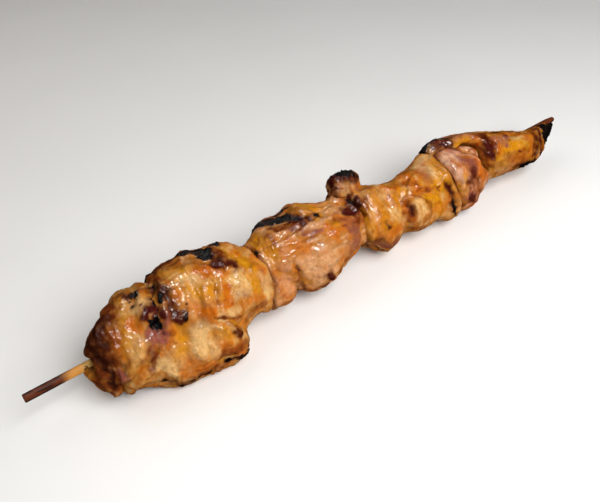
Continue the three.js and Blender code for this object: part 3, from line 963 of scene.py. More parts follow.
# Some of the small pale strokes lie on the bumps where the glaze glints, and are painted
# highlights there.
paint(slab, "pale", [
    (0.8, 1.2, 0.6, (75, 24), (78, 29)),
    (2.2, 4, 0.7, (58, 8), (65, 22)),
    (1.8, 3, 0.5, (60, 40), (63, 45)),
    (1.6, 3, 0.7, (73, 34), (77, 38), (80, 38)),
    (1.2, 2, 0.8, (71, 42), (76, 56)),
    (2, 3, 0.75, (84, 44), (84.5, 60)),
    (3, 3.5, 1, (56, 66), (54, 76), (54, 84)),
    (2.2, 3, 0.75, (57, 84), (58, 94)),
    (2.4, 4, 0.5, (47, 66), (47, 78), (48, 90)),
    (0.8, 1, 0.8, (61, 69), (62.3, 73)),
    (1.7, 2, 1, (43, 92), (43, 102)),
    (2.2, 3, 0.8, (63, 12), (67, 25)),
    (1.2, 1.8, 0.9, (67.5, 28), (66.5, 39), (64.5, 49), (64.5, 61), (64, 67)),
    (2, 2, 1, (73, 35), (75.5, 39), (77.5, 45)),
    (1.8, 2, 0.9, (72, 50), (78, 54)),
    (1.5, 2.5, 0.6, (67.5, 64), (70, 69)),
    (1.5, 3, 0.5, (88, 22), (86.5, 52), (84.5, 77)),
    (2, 2.5, 0.95, (40, 83), (42, 83), (42.5, 91)),
    (2.2, 3, 0.7, (55, 64), (55.5, 78), (53, 88)),
    (1.2, 2.2, 0.6, (50.5, 23), (50.5, 31)),
    (1.2, 2, 0.9, (85.5, 42), (83.5, 85)),
    (2.5, 3, 0.8, (60.5, 5), (61.5, 19), (58.5, 31)),
    (2, 3, 0.6, (67.5, 11), (67.5, 25)),
    (1.6, 2.4, 0.8, (57, -4), (60, -3)),
])
paint(slab, "gold", [
    (2, 3, 0.6, (55, -23), (57, -8)),
    (1.6, 3, 0.6, (58, -18), (62, -6), (64, 2)),
    (2.4, 3.5, 1, (80, 6), (82, 18), (83, 30)),
    (1.3, 2.2, 1, (61, 27), (64, 31)),
    (1.8, 2.5, 0.8, (49, 50), (52, 55)),
    (1.8, 2.5, 0.9, (80, 42), (81, 54)),
    (1.3, 2, 0.8, (77, -12), (77, 2)),
    (1.2, 2, 0.9, (60.5, -5), (62, 3)),
    (1.8, 2.5, 0.7, (63, 27), (65, 32)),
    (2.2, 2.5, 1, (80, 18), (81.5, 25), (84, 26)),
    (1.8, 2, 1, (79.5, 52), (80.5, 61)),
    (1.8, 2.5, 0.8, (49, 62), (50.5, 69)),
    (1.4, 2.5, 0.7, (87.5, 13), (85, 44)),
    (3, 4, 0.5, (67.5, 27), (69, 40), (66, 47)),
    (2.5, 3, 0.8, (59, 23), (62.5, 35), (66.5, 36)),
    (2.2, 3, 0.7, (49.5, 55), (50, 71), (47.5, 80)),
    (2, 3, 0.6, (63.5, 78), (64.5, 91)),
])
paint(slab, "orange", [
    (1.5, 3, 0.6, (84, 18), (84, 30)),
    (1.9, 3, 0.95, (65, 6), (68, 9), (70, 16)),
    (1.2, 2, 0.6, (71, 19), (72, 25)),
    (2, 4, 0.6, (57, 36), (59, 46)),
    (2, 2.5, 1, (60, 51), (62, 56)),
    (1.8, 4, 0.6, (74, 66), (78, 68), (80, 78)),
    (2.2, 3, 0.6, (47, 108), (57, 106)),
    (1.5, 2, 0.6, (80, -2), (81, 5)),
    (2, 3, 0.9, (65.5, 8), (66.5, 15), (68.5, 16)),
    (1.5, 2, 1, (70, 37), (68, 55)),
    (1.6, 2.5, 0.7, (84, 30), (85, 37)),
    (2.2, 3, 0.8, (62, 94), (65, 104), (66.5, 112)),
    (1.6, 2.5, 0.7, (52.5, 23), (54.5, 21)),
    (2.2, 3, 0.7, (48, 41), (47, 55), (44.5, 66)),
    (2, 3, 0.5, (58, 43), (67, 53)),
    (2, 3, 0.7, (49, 94), (52, 101), (56.5, 105)),
])
paint(slab, "sear_and_shade", [
    (5, 6, 0.85, (52, -44), (63, -36)),
    (1.5, 2.5, 0.8, (53, -25), (53.5, -9)),
    (1.2, 1.8, 0.8, (56.5, -24), (59.5, -23), (62, -20)),
    (2.6, 2.5, 0.95, (73, -14), (74, -2), (74, 10)),
    (1.8, 3, 0.45, (52, 54), (60, 60)),
    (1.3, 2, 0.8, (74, 100), (82, 88)),
    (0.6, 1, 0.9, (62, 62), (65, 66), (71, 79)),
    (0.4, 1.2, 0.5, (67, 24), (67, 36), (65, 50)),
    (2.3, 3, 0.75, (60, 103), (68, 106)),
    (1.8, 2.5, 0.8, (42, 122), (60, 116)),
    (1, 1.6, 0.7, (42, 64), (40, 76), (37, 88)),
    (1.5, 2, 0.9, (75, -23), (76, -5)),
    (2.5, 4, 0.5, (58.5, -19), (63.5, -12), (67.5, -3)),
    (0.35, 0.6, 0.7, (67.5, 30), (66, 38), (65.5, 45)),
])
paint(slab, "mauve", [
    (2, 3, 0.25, (84, 44), (84.5, 60)),
    (1.5, 2, 0.3, (71.5, 52), (75.5, 55)),
])
paint(slab, "scorch_and_shade", [
    (1.4, 3, 0.7, (54, -34), (65, -32)),
    (0.45, 0.5, 1, (56, 34)),
    (1.8, 2.5, 1, (72.5, -17), (72.5, -2), (73, 8)),
])
paint(slab, "liver", [
    (1.2, 1.5, 0.85, (67, 85), (68.5, 92)),
    (1.3, 1.5, 1, (71, 3), (71.5, 12), (73, 12)),
    (1.1, 1.5, 0.9, (74.5, 14), (77, 13), (77, 20)),
    (0.9, 1.2, 0.8, (66.5, 84), (68, 94)),
])
paint(slab, "char", [
    (2.2, 1, 1, (65, -26), (71.5, -17)),
    (1.25, 0.9, 1, (68.5, -11), (71, -9)),
    (1, 0.7, 1, (75.5, -28), (77, -26)),
    (1, 1.2, 0.9, (66, 117), (70, 113)),
    (0.88, 1.2, 0.7, (44, 125), (55, 119)),
    (0.88, 0.8, 0.9, (40, 116), (40.5, 120)),
    (1, 1, 0.9, (51, -51), (53, -41)),
    (0.6, 0.8, 0.9, (60.5, 113), (63.5, 112), (66.5, 112)),
])
paint(slab, "wet", [
    (1.2, 2, 1, (51, 11), (50.5, 19)),
    (1.5, 2.5, 1, (50, 32), (49, 43), (46.5, 51)),
    (1, 2, 0.8, (43, 48), (42.5, 60)),
    (1.5, 2.5, 1, (59.5, 0), (56, 17), (57.5, 25)),
    (1.2, 2.5, 0.8, (64, 1), (62, 10)),
    (1.5, 2.5, 1, (69.5, 7), (68.5, 20), (66.5, 36)),
    (2, 2.5, 1, (74, 17), (76, 28)),
    (1.5, 2.5, 1, (70.5, 33), (79.5, 49)),
    (1.5, 2.5, 0.9, (71.5, 54), (76.5, 56)),
    (1.2, 2.5, 0.8, (55, 33), (54, 43)),
    (1.5, 2.5, 0.8, (63.5, 50), (64.5, 61), (66, 68)),
    (1.2, 2.5, 0.8, (69.5, 74), (74.5, 81)),
    (1.5, 2.5, 0.9, (56.5, 71), (59, 68), (62, 75)),
    (1.2, 2.5, 0.8, (63.5, 90), (65.5, 97)),
    (1.5, 2.5, 0.8, (50, 81), (53, 79)),
    (1.5, 2.5, 0.8, (57, 89), (56.5, 99)),
    (1.5, 2.5, 0.9, (39, 83), (42.5, 81), (44, 90)),
    (2.2, 2.5, 1, (55.5, 6), (58, 2), (60, 4)),
    (1.6, 2.5, 1, (55, 18), (57.5, 17)),
])
cook(slab, AROUND)
slab.piece.data.materials.append(grilled_chicken("second lump, golden grilled chicken"))
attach(slab.piece, "root")
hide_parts("chicken_2_thigh_slab")

# ----------------------------------------------------------- the third lump of chicken
# A long fold of thigh with a seam along its top and a knuckle at its near end. It is
# threaded lengthways, so its fibres run along the skewer.
fold = raw_flesh("long_fold", "chicken_3_long_fold")
grab(fold, [((130, 66), 4, (-1.8, 0, 0))])
ridge(fold, [
    (-1, 1.5, (96, -34), (101, -26), (105, -18), (109, -2), (110, 10)),
    (0.8, 1.6, (112, -34), (110, -24), (111, -14), (114, -8)),
    (0.7, 1.6, (101, -6), (104, 4), (108, 8)),
    (0.6, 0.9, (103, 19), (107, 20), (112, 18), (118, 18)),
    (-0.6, 0.8, (104, 25), (108, 27), (113, 26)),
    (-0.6, 0.7, (112, 8), (114, 12)),
    (-0.5, 0.6, (120, 38), (126, 41), (131, 45)),
    (-0.35, 0.5, (103, 31), (110, 34), (118, 36)),
    (-0.8, 1, (97, 50), (98, 66), (99, 118)),
    (0.6, 0.9, (94, 6), (95, 8)),
    (0.5, 0.8, (98, 4), (101, 6)),
    (0.4, 0.7, (97, 19), (103, 20)),
    (0.5, 0.7, (93, 17), (94, 19)),
    (0.6, 0.9, (107, 52), (109, 52)),
    (-0.6, 1.2, (125, 18), (128, 24)),
    (1.6, 1.1, (109, 95), (109.5, 100)),
    (0.5, 0.5, (103, 21), (107, 22), (112, 22), (117, 17)),
    (0.45, 0.5, (103.5, 27), (107.5, 29), (112.5, 30)),
    (0.5, 0.5, (99.5, 17), (108, 17), (112.5, 15)),
    (0.35, 0.5, (92.5, 12), (102.5, 25)),
    (0.35, 0.5, (93, 20), (98, 25), (103.5, 32)),
    (0.45, 0.6, (107, 20), (113.5, 20)),
    (0.35, 0.6, (108.5, 24), (115.5, 24)),
    (0.35, 0.6, (86.5, 43), (87, 60), (88, 78)),
])
flap(fold, [
    (0.5, 2, (92, 44), (96, 40), (102, 38), (110, 42)),
    (0.5, 2.4, (126, 70), (121, 60), (121, 46)),
])
# Some of the small pale strokes lie on the bumps and streaks where the glaze glints, and are
# painted highlights there.
paint(fold, "pale", [
    (0.8, 1, 0.9, (106, 18), (110, 15)),
    (2, 3, 0.5, (116, -6), (121, 2), (124, 12)),
    (1, 1.4, 0.7, (94, 5), (98, 4), (101, 6)),
    (0.5, 0.8, 0.8, (96, 19), (100, 20), (104, 20)),
    (1.2, 2, 0.6, (92, 42), (94, 54)),
    (1.6, 2.5, 0.75, (87, 22), (88, 40), (88, 52)),
    (5, 6, 0.4, (104, 64), (110, 66), (106, 88)),
    (1, 1.2, 0.9, (107, 18), (109.5, 22), (112, 22)),
    (3, 4, 0.5, (102.5, 75), (104, 95)),
    (1.5, 3, 0.5, (89, 36), (87.5, 113)),
    (1.2, 1.8, 1, (108.5, 22), (116.5, 20)),
    (1.8, 3, 0.7, (104.5, 65), (108.5, 66), (111.5, 77)),
    (1.4, 2, 0.9, (87.5, 70), (87, 94), (84.5, 94)),
    (2, 3, 0.9, (89, 79), (92.5, 76), (93, 91)),
    (1.6, 2.5, 0.7, (99, 55), (105.5, 83)),
])
paint(fold, "gold", [
    (2.2, 3, 0.7, (110, -28), (117, -16)),
    (0.9, 1.4, 0.9, (112.5, 12), (115, 8)),
    (1.6, 2, 0.85, (116, 26), (118, 31)),
    (1.8, 3, 0.8, (90, -20), (92, -12), (92, 0)),
    (1.2, 2, 0.6, (99, 92), (102, 98)),
    (2, 3, 0.8, (91.5, -23), (91.5, -3), (89.5, -4)),
    (1.5, 2.5, 0.8, (109, -25), (110.5, 5)),
    (1, 1.5, 0.9, (111.5, 15), (113.5, 12)),
    (1, 2, 0.5, (87, 72), (87, 94)),
    (1.4, 2.5, 0.7, (92.5, -7), (93, 14), (92.5, 30)),
    (2, 3, 0.6, (91, -1), (91, 24), (92, 39)),
])
paint(fold, "orange", [
    (1.6, 2.5, 0.7, (120, 20), (123, 26)),
    (2.2, 3, 0.35, (96, 30), (104, 40)),
    (3, 4, 0.4, (91, 70), (92, 90), (92, 106)),
    (1.2, 2, 0.8, (114, 28), (115.5, 34)),
    (1.4, 2.5, 0.7, (116, 41), (125, 38)),
    (1.6, 2.5, 0.6, (98.5, 18), (100.5, 32), (103, 43)),
])
# The strokes on the far end, next to the fourth lump, are partly painted shade.
paint(fold, "sear_and_shade", [
    (1.2, 2, 0.6, (107, -30), (109, -22), (110, -14)),
    (2.2, 2, 1, (99, -4), (107, 9)),
    (2.2, 2.5, 0.8, (128, 28), (130, 36)),
    (0.5, 1, 0.85, (120, 38), (126, 41), (130, 45)),
    (1.8, 3, 0.6, (123, 48), (126, 58), (126, 70)),
    (1, 1.6, 0.7, (93.5, -6), (95, 4), (94, 12)),
    (1.2, 2, 0.7, (87, -30), (86, -8), (87, 8)),
    (0.5, 0.8, 0.6, (103, 31), (109, 34)),
    (1.2, 2, 0.8, (87, 122), (97, 120)),
    (0.7, 1.4, 0.8, (97, 50), (98, 66), (98, 90), (99, 116)),
    (1, 2, 0.7, (114, 100), (122, 90)),
    (1.4, 2, 0.9, (98, -22), (101, 2), (105, 15)),
    (1, 2, 0.6, (116.5, 25), (121, 27), (125, 32)),
    (1, 1.8, 0.8, (100, 120), (106, 118), (111, 114)),
    (2.5, 5, 0.6, (125.5, 39), (125.5, 57), (123, 79)),
    (2.5, 3, 0.9, (130, -1), (130.5, 21), (128.5, 35)),
])
# The wide mauve strokes on the far end are partly painted shade.
paint(fold, "mauve", [
    (1.2, 1.6, 0.6, (110, 8), (112, 6)),
    (2.4, 3, 0.55, (123, 48), (125, 60), (124, 72)),
    (1.2, 2, 0.35, (92, 42), (94, 52)),
    (3, 5, 0.4, (123, 42), (123.5, 60), (121.5, 75)),
    (0.9, 1.4, 0.8, (105, 23), (111.5, 30)),
])
paint(fold, "scorch_and_shade", [
    (0.6, 1, 0.8, (97, 60), (98, 70)),
    (1.8, 2.5, 1, (132.5, -7), (133.5, 5), (132, 19)),
])
paint(fold, "liver", [
    (1.4, 1.2, 1, (106, -18), (109.5, 2), (109.5, 8)),
    (2, 1.6, 1, (131, -4), (131, 8), (128, 20)),
    (1.5, 1.4, 0.9, (126, 18), (127, 24)),
    (1.2, 1.4, 1, (104, -10), (106.5, 3), (107, 12)),
    (1.9, 1.8, 1, (126, 17), (133, 11)),
    (1.1, 0.8, 1, (108.5, 92), (109.5, 102)),
    (0.5, 0.8, 0.7, (104, 122), (109, 118)),
    (1.7, 2, 1, (126.5, 14), (127.5, 19), (131, 11)),
])
paint(fold, "char", [
    (1.4, 1.4, 1, (94, -42), (102, -30), (105, -24)),
    (0.7, 1.4, 0.9, (105, -24), (107, -14), (108, -4)),
    (0.88, 1, 0.9, (103, -38), (110, -41)),
    (0.75, 0.7, 0.95, (113, 8), (113.6, 11)),
    (1.62, 1.6, 0.8, (131, -6), (132, 2)),
    (0.75, 0.8, 0.8, (86.4, 2), (86.8, 6)),
])
paint(fold, "wet", [
    (1.2, 2.5, 1, (95, -23), (98, -22)),
    (1.5, 2.5, 1, (95, 7), (102, 13)),
    (1.5, 2.5, 1, (92, 21), (101.5, 28)),
    (2, 2.5, 1, (106.5, 20), (109.5, 23), (112.5, 20), (117, 11)),
    (1.5, 2.5, 1, (114, -7), (116.5, -10)),
    (1.5, 2.5, 0.9, (106.5, 44), (105.5, 56)),
    (1.2, 2.5, 0.8, (112.5, 46), (119, 49), (125, 45)),
    (1.5, 2.5, 1, (88, 10), (87, 34)),
    (1.5, 2.5, 1, (85.5, 57), (84, 71)),
    (1.2, 2.5, 0.8, (90.5, 53), (92.5, 66)),
    (1.2, 2.5, 0.8, (95.5, 58), (96, 69)),
    (2, 2.5, 1, (107.5, 21), (115.5, 20)),
    (1.6, 2.5, 1, (106.5, 44), (109, 46)),
    (1.4, 2.5, 0.9, (95, 3), (99.5, 1), (102.5, 5)),
    (1.5, 2.2, 1, (87, 49), (87.5, 70)),
    (1.5, 2.2, 0.9, (90, 91), (92.5, 93)),
    (1.6, 2.4, 1, (100.5, 16), (109, 20)),
])
cook(fold, ALONG)
fold.piece.data.materials.append(
    grilled_chicken("third lump, golden grilled chicken", light="#B2743C", pale="#CB986C")
)
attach(fold.piece, "root")
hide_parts("chicken_3_long_fold")

# ---------------------------------------------------------- the fourth lump of chicken
# A strip of thigh rolled up round the skewer, with a stub that stands up behind, and
# burnt, and a curl in front.
roll = raw_flesh("rolled_strip", "chicken_4_rolled_strip")
grab(roll, [
    ((141, -22), 3, (-3.6, 0, -0.6)),
    ((133.5, 65), 4, (-3.6, 0, 0)),
])
ridge(roll, [
    (0.5, 2.2, (137, 0), (137, 30), (136, 60), (134, 90)),
    (-0.5, 1.2, (143, 20), (143, 40), (141, 60)),
    (0.6, 1.1, (146, 26), (146, 40), (145, 55)),
    (-0.9, 1.3, (151, 54), (151.5, 66), (151, 78)),
    (0.9, 1.1, (149, 56), (151, 48), (154, 50), (157, 58), (159, 70), (159, 84)),
    (-0.7, 0.8, (158, 58), (160.5, 70), (161, 86), (160, 102)),
    (-0.8, 1, (157, 42), (160, 48), (164, 54), (168, 58)),
    (0.6, 1, (149, 12), (150, 16)),
    (0.8, 1.4, (170, 62), (171, 76), (171, 90)),
    (0.8, 2, (162, 70), (165, 84), (166, 100)),
])
flap(roll, [
    (0.7, 2.4, (163, 0), (158, 12), (155, 28), (152, 42)),
    (0.6, 2.2, (172, 40), (168, 50), (166, 64)),
])
paint(roll, "pale", [
    (1.4, 2.5, 0.5, (138, 4), (139, 16)),
    (1.3, 1.6, 0.9, (145, 22), (146, 40), (145, 58)),
    (1.5, 2.5, 0.55, (155, 30), (158, 36), (160, 42)),
    (1.2, 1.6, 0.85, (155, 58), (157, 68), (157, 80)),
    (1.6, 2.5, 0.6, (167, -12), (168, 6), (168, 22)),
    (0.9, 1.4, 0.5, (162, 50), (164, 56)),
    (1.8, 3, 0.4, (168, 110), (171, 114)),
    (1.6, 2.5, 0.8, (148, 67), (148.5, 83)),
    (1.6, 2.5, 0.7, (138.5, 11), (134.5, 53)),
    (1, 1.5, 0.8, (147, 26), (145.5, 48), (145.5, 65)),
    (0.8, 1.2, 0.9, (154.5, 64), (154.5, 78), (153.5, 92)),
    (2, 2.5, 0.9, (166.5, -15), (170, -19), (172.5, -15)),
    (1.6, 2.5, 0.9, (170, 5), (169, 40)),
])
paint(roll, "gold", [
    (0.8, 1.4, 0.8, (148, 30), (148, 50)),
    (1.3, 1.6, 0.9, (152, 24), (153, 32)),
    (1.4, 2, 0.8, (141, 78), (144, 84)),
    (1, 1.6, 0.6, (148, 60), (148, 76)),
    (2, 3, 0.75, (172, 0), (173, 20), (172, 38)),
    (1.8, 2, 1, (160, 60), (163, 70), (165, 80)),
    (2.2, 2.5, 0.9, (159.5, 65), (164, 83), (165.5, 101)),
    (2, 3, 0.7, (173, 4), (170.5, 56)),
    (1.8, 2.5, 0.8, (137.5, 70), (140, 85)),
    (3, 3, 0.9, (162.5, 39), (167, 53), (171.5, 58)),
    (1.5, 2.5, 0.8, (135, 21), (132.5, 51), (132.5, 95)),
    (1.4, 2, 0.8, (134, 30), (130, 60)),
    (2, 3, 0.6, (138.5, 16), (139.5, 36), (138.5, 58)),
])
paint(roll, "orange", [
    (3, 5, 0.35, (138, 10), (137, 40), (135, 70)),
    (1.3, 2, 0.8, (147, 8), (151, 14)),
    (1.8, 2.5, 0.95, (140, 84), (142, 90), (145, 92)),
    (1.2, 1.8, 1, (157, 43), (163, 51)),
    (2, 3, 0.5, (163.5, 86), (168, 103)),
    (2.5, 3, 0.8, (162, -62), (157.5, 16), (158.5, 39)),
    (1.8, 2.4, 1, (150.5, 59), (150.5, 72), (151.5, 90)),
    (2, 3, 0.5, (146, 24), (146, 45)),
])
paint(roll, "sear_and_shade", [
    (1.6, 2.5, 0.6, (129, -40), (130, -28)),
    (1.2, 1.6, 0.8, (133, 6), (133, 22), (132, 32)),
    (1.2, 2.5, 0.5, (153, 6), (159, 28)),
    (2.6, 3, 0.75, (134, 104), (138, 112), (143, 112)),
    (1.5, 2.5, 0.5, (151, 52), (152, 70), (152, 88)),
    (0.6, 1, 0.75, (158, 60), (160.5, 72), (161, 88), (160, 102)),
    (0.5, 0.8, 0.8, (160, 49), (164, 54), (168, 57)),
    (0.5, 0.8, 0.8, (166, 50), (167, 62)),
    (1.2, 2, 0.6, (150, 112), (166, 120)),
    (0.4, 0.8, 0.8, (154.5, 47), (157.5, 58), (160, 77), (160.5, 92), (156.5, 122)),
    (0.6, 1, 0.7, (158, 42), (161.5, 41), (162.5, 53), (166, 51)),
    (1.5, 2.5, 0.7, (136, 10), (134, 32)),
    (1.3, 2.2, 0.8, (151.5, 57), (151, 73), (151.5, 85)),
    (1.2, 2.2, 0.6, (149, 70), (150.5, 94)),
])
paint(roll, "mauve", [
    (1.8, 2.5, 0.5, (138, -26), (141, -14)),
    (0.9, 1.4, 0.4, (146, 26), (146, 44)),
    (2, 3, 0.5, (166, 0), (166, 20), (164, 36)),
    (2, 3, 0.4, (130.5, -26), (135, -23)),
    (2.2, 3, 0.35, (169, -15), (167, 11)),
    (1.8, 3, 0.6, (135.5, 117), (138, 112), (142.5, 113)),
])
paint(roll, "scorch_and_shade", [
    (0.9, 1.6, 0.9, (131, 118), (135, 134), (139, 134), (141, 128)),
    (1.6, 2.5, 0.8, (130, -37), (133.5, -28), (138.5, -27)),
    (1.2, 2, 0.8, (173, 65), (172, 96)),
    (1.2, 2, 1, (134, -7), (134, 12)),
    (0.7, 1.5, 0.7, (138.5, 65), (139, 76)),
])
paint(roll, "liver", [
    (1.8, 1.6, 1, (131, -43), (134, -40)),
    (0.7, 1.2, 0.9, (129, -46), (129, -36), (130, -28)),
    (1.2, 1.4, 1, (133, -4), (134, 4)),
    (0.8, 1, 0.9, (171, 58), (172, 70)),
    (1.6, 1.6, 1, (130.5, -37), (133, -31), (139, -29)),
    (0.8, 1.5, 0.8, (130, -53), (124.5, -27)),
    (1.3, 1.5, 1, (132.5, -14), (133.5, 5)),
    (1, 2, 0.8, (151.5, 64), (152, 78)),
])
paint(roll, "char", [
    (2.5, 1.2, 1, (134, -41), (139, -37)),
    (1, 1, 0.9, (132, -50), (139, -46)),
    (0.5, 0.6, 0.8, (138.6, 70), (138.8, 73)),
    (1.4, 1.4, 0.8, (133.5, -32), (140, -29)),
    (0.7, 1, 1, (172, 87), (172, 100), (173.5, 116)),
])
paint(roll, "wet", [
    (1.5, 2.5, 0.8, (129.5, -28), (132, -19), (135.5, -12)),
    (1.2, 2.5, 0.8, (137.5, 7), (134.5, 28)),
    (1.5, 2.5, 0.9, (146.5, 25), (144.5, 55)),
    (1.2, 2.5, 0.8, (135.5, 76), (137.5, 90)),
    (1.5, 2.5, 1, (148, 71), (149.5, 90)),
    (1.5, 2.5, 1, (154.5, 65), (154.5, 78)),
    (1.5, 2.5, 0.9, (156.5, 39), (160, 51)),
    (1.5, 2.5, 0.9, (168, -4), (169, 15)),
    (1.5, 2.5, 0.9, (166, 32), (164.5, 53)),
    (1.2, 2.5, 0.8, (167.5, 62), (172, 63)),
    (1.6, 2, 1, (176.5, 3), (175.5, 41)),
    (1.6, 2, 1, (163.5, -1), (168.5, -12)),
])
cook(roll, AROUND, bundle=0.35, wrinkle=0.16)
roll.piece.data.materials.append(grilled_chicken("fourth lump, golden grilled chicken"))
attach(roll.piece, "root")
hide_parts("chicken_4_rolled_strip")

# ----------------------------------------------------------- the fifth lump of chicken
# Short upright pleats of thigh, gathered on the skewer and pressed between their
# neighbours. Less glaze reached them, so the cooked flesh shows pinker.
PLEAT_SETTLING = 90  # the solid's steps are coarser than the other lumps'
pleats = raw_flesh("pleated_fold", "chicken_5_pleated_fold", settling=PLEAT_SETTLING)
grab(pleats, [
    ((198, 55), 6, (-4.5, 0, -0.5)),
    ((192, 5), 6, (-1.5, 0, -4)),
])
ridge(pleats, [
    (0.7, 1.4, (176, 20), (178, 66)),
    (-0.5, 1.3, (181, 10), (182, 34), (181, 60), (181, 84), (182, 112)),
    (-0.3, 1.2, (189, 30), (190, 56), (188, 80)),
    (0.5, 0.9, (179, 10), (180, 14)),
    (0.5, 0.8, (183, 26), (184, 30)),
    (0.35, 0.7, (179, 15), (177, 37), (176.5, 56)),
])
paint(pleats, "pale", [
    (1.5, 1.8, 1, (176, 22), (177, 54)),
    (1.4, 2.5, 0.6, (179, 6), (181, 16), (184, 26)),
    (2, 2.5, 0.9, (178.5, 11), (182, 9)),
    (1.6, 2.5, 1, (177, 26), (176.5, 52)),
    (1.8, 3, 0.8, (178.5, 48), (177.5, 77)),
    (1.2, 2, 0.9, (176, 8), (176, 28), (174.5, 48)),
    (1.4, 2.5, 0.8, (183, 4), (188, 10), (190, 21)),
])
paint(pleats, "gold", [
    (1.4, 2, 0.7, (180, 60), (178, 92)),
    (1.6, 2.5, 0.7, (176, 79), (177.5, 103)),
    (1.8, 2.5, 0.8, (176.5, 68), (177.5, 89), (180, 116)),
])
paint(pleats, "orange", [
    (1.2, 2, 0.8, (179, 28), (180, 40)),
    (1.5, 3, 0.6, (187.5, 17), (189, 33)),
    (1.2, 2, 0.9, (189.5, 69), (191, 95)),
    (1.6, 2.2, 0.9, (189.5, 44), (189.5, 65)),
])
paint(pleats, "sear_and_shade", [
    (1.6, 2, 0.85, (178, 112), (183, 112), (186, 104)),
    (1.5, 2, 0.7, (182, -12), (190, 6)),
    (1.5, 2.5, 0.8, (188, 83), (189.5, 108), (186, 112)),
    (2.4, 3, 0.8, (187, 47), (185.5, 65), (184, 76)),
    (0.9, 1.8, 0.8, (180, 73), (181.5, 83)),
])
paint(pleats, "mauve", [
    (1.8, 2.5, 0.6, (176, -20), (184, 2)),
    (2.2, 3.5, 0.8, (184, 29), (187, 42), (187, 56)),
    (1.6, 2.5, 0.8, (179.5, 96), (184.5, 101)),
])
paint(pleats, "liver", [
    (1.1, 1.8, 0.8, (186.5, 54), (184.5, 67), (182, 73)),
    (0.9, 1.4, 0.9, (182, 105), (184.5, 106)),
    (1.2, 2, 0.7, (187, 56), (185.5, 68)),
    (0.9, 1.5, 0.9, (183, 101), (184, 113)),
])
paint(pleats, "wet", [
    (2, 2.5, 1, (175, 28), (175.5, 53)),
    (1.5, 2.5, 1, (182.5, 36), (183.5, 50)),
    (1.5, 2.5, 0.9, (177.5, 65), (178.5, 82)),
    (1.2, 2, 0.8, (181.5, 93), (183, 103)),
    (1.2, 2, 0.9, (177.5, -20), (176.5, 3)),
    (1.8, 2.2, 1, (178, 18), (176.5, 40), (176.5, 56)),
    (1.6, 2.4, 1, (184.5, 24), (185, 43)),
])
cook(pleats, AROUND, bundle=0.3, wrinkle=0.14)
pleats.piece.data.materials.append(
    grilled_chicken(
        "fifth lump, pink grilled chicken", flesh="#9A5426", light="#BC7A48", pale="#D8A888"
    )
)
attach(pleats.piece, "root")
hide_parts("chicken_5_pleated_fold")

# ------------------------------------------------------------ the last lump of chicken
# A long strip of thigh laid back over the fifth lump, tapering to the skewer's point,
# where it dried and charred and left the top of the stick bare.
end = raw_flesh("tapered_end", "chicken_6_tapered_end")
bare(end, 205, 232)
ridge(end, [
    (0.8, 1.5, (178, -42), (181, -38), (185, -34)),
    (0.6, 1.8, (188, -26), (194, -18), (199, -4)),
    (-0.7, 1.3, (206, 0), (205, 24), (203, 44)),
    (0.5, 1.4, (201, 10), (200, 30)),
    (0.5, 1.8, (208, 10), (212, 30)),
    (-0.5, 0.8, (198, 30), (201, 46), (200, 62)),
    (-0.4, 0.6, (215, 76), (217, 80)),
    (0.7, 1.2, (236, 60), (236, 90), (232, 112)),
    (0.5, 0.9, (226, 20), (231, 32)),
])
paint(end, "pale", [
    (1.8, 2.5, 0.85, (196, 30), (200, 70), (201, 90)),
    (3, 4, 0.45, (204, 84), (208, 96), (208, 112)),
    (1.6, 3, 0.7, (192.5, 54), (199.5, 91), (205, 102)),
    (1.6, 3, 0.6, (190, -27), (197.5, -25)),
    (1.6, 2.5, 0.8, (213.5, 33), (217, 42), (221, 55)),
    (1.3, 2, 0.9, (215.5, 34), (221, 51)),
])
paint(end, "gold", [
    (1.8, 2.5, 0.8, (189, -6), (194, 2), (198, 6)),
    (2.2, 3, 0.9, (214, 88), (222, 98)),
    (3.5, 4, 0.9, (208.5, 46), (213, 62), (218.5, 70)),
    (3, 4, 0.7, (199, 69), (203.5, 86), (207.5, 89)),
    (2.5, 3, 0.9, (208.5, 10), (206.5, 41), (203.5, 68)),
    (2.2, 3, 0.9, (191.5, 49), (193.5, 64), (200.5, 94)),
])
paint(end, "orange", [
    (1.6, 3, 0.5, (216, 10), (226, 40)),
    (2.5, 4, 0.7, (211.5, 93), (217.5, 89)),
    (1.6, 2.5, 0.8, (211, 9), (216, 11), (220, 33)),
    (2.4, 3, 0.8, (199, -5), (195, 26), (193.5, 47)),
    (2.2, 3, 0.8, (206, 18), (205, 48)),
    (2.2, 3.5, 0.8, (223, 53), (224, 79), (221, 90)),
])
paint(end, "sear_and_shade", [
    (2, 2, 0.95, (204, -2), (205, 20), (202, 50)),
    (0.8, 1.2, 0.7, (206, -14), (214, -8), (222, 6), (228, 20)),
    (0.7, 1.2, 0.5, (193, 22), (195, 36), (196, 52)),
    (0.5, 0.8, 0.95, (215.5, 76), (216, 80)),
    (1.4, 3, 0.6, (230, 40), (230, 60), (229, 84), (226, 108)),
    (1.2, 2, 0.6, (206, 120), (214, 124), (222, 118)),
    (2.6, 3, 1, (203, -4), (201.5, 25), (200.5, 55)),
    (3, 5, 0.5, (207.5, 106), (215.5, 105), (222, 100)),
    (2.5, 4, 0.5, (209, 81), (214, 92), (218.5, 85)),
    (1.6, 3, 1, (228.5, 60), (226.5, 89), (222.5, 101)),
    (2.6, 5, 0.5, (198.5, 61), (203, 98), (208, 101)),
])
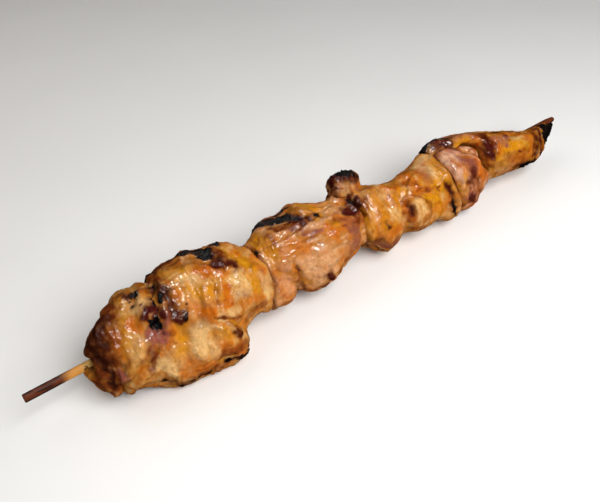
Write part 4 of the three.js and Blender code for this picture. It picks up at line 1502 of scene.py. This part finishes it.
paint(end, "mauve", [
    (2.2, 3, 0.7, (188, -34), (193, -28), (198, -18)),
    (1.6, 2.5, 0.6, (207, 6), (209, 16), (209, 26)),
    (0.9, 1.2, 0.8, (211, 24), (211, 34)),
    (1.5, 2.5, 0.7, (209, 22), (209, 39)),
    (2.2, 3, 0.35, (189, -23), (195.5, -26), (199, -18)),
    (1, 1.5, 0.8, (210, 36), (210, 48)),
])
paint(end, "scorch_and_shade", [
    (1, 3, 0.9, (229.5, 69), (227.5, 92), (224, 105)),
    (1.4, 2.5, 1, (214, 112), (218.5, 110), (223.5, 112)),
])
paint(end, "liver", [
    (1.4, 1.4, 0.9, (180, -30), (184, -24), (186, -18)),
    (1.1, 1.2, 1, (204, 14), (203, 30)),
    (0.7, 0.9, 0.9, (210, -6), (212, -2)),
    (0.35, 0.6, 0.9, (211.5, 22), (212, 26)),
    (0.35, 0.6, 0.9, (211, 36), (211.3, 39)),
    (1.2, 2, 0.85, (233, 40), (233, 70), (231, 96), (228, 116)),
    (1.5, 2, 0.9, (180, -38), (186, -26)),
    (2.2, 2.6, 1, (202, 5), (201, 46)),
])
paint(end, "char", [
    (1.3, 1.4, 1, (176, -44), (184, -38), (186, -33)),
    (1, 1, 0.9, (187, -30), (188, -26)),
    (3.2, 1.8, 1, (239, 60), (239, 80), (237, 110), (237, 150)),
    (2.5, 1.6, 1, (245, 60), (245, 120), (242, 170)),
    (1, 1.2, 0.9, (224, 118), (219, 124)),
    (0.7, 1, 0.9, (217, 121), (220.5, 114), (225, 120)),
    (1.2, 1.2, 1, (217, 113), (224, 113)),
])
paint(end, "wet", [
    (1.5, 2.5, 0.9, (186.5, -18), (190, -18)),
    (1.2, 2.5, 0.6, (193.5, 47), (195.5, 78)),
    (1.5, 2.5, 0.6, (202.5, 71), (204.5, 89)),
    (1.2, 2.5, 0.6, (214, 37), (220.5, 59)),
    (1.2, 2.5, 0.6, (217, 72), (219.5, 93)),
    (1.6, 2.5, 1, (213, 20), (218, 30), (224, 48)),
    (1.6, 2.5, 1, (188, -24), (194, -21), (199.5, -14)),
    (1.4, 2.5, 0.9, (206, 51), (210, 78)),
])
cook(end, ALONG, bundle=0.3, wrinkle=0.1, strand=0.04)
end.piece.data.materials.append(
    grilled_chicken("last lump, golden grilled chicken", flesh="#945812", light="#AC7222")
)
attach(end.piece, "root")
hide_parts("chicken_6_tapered_end")
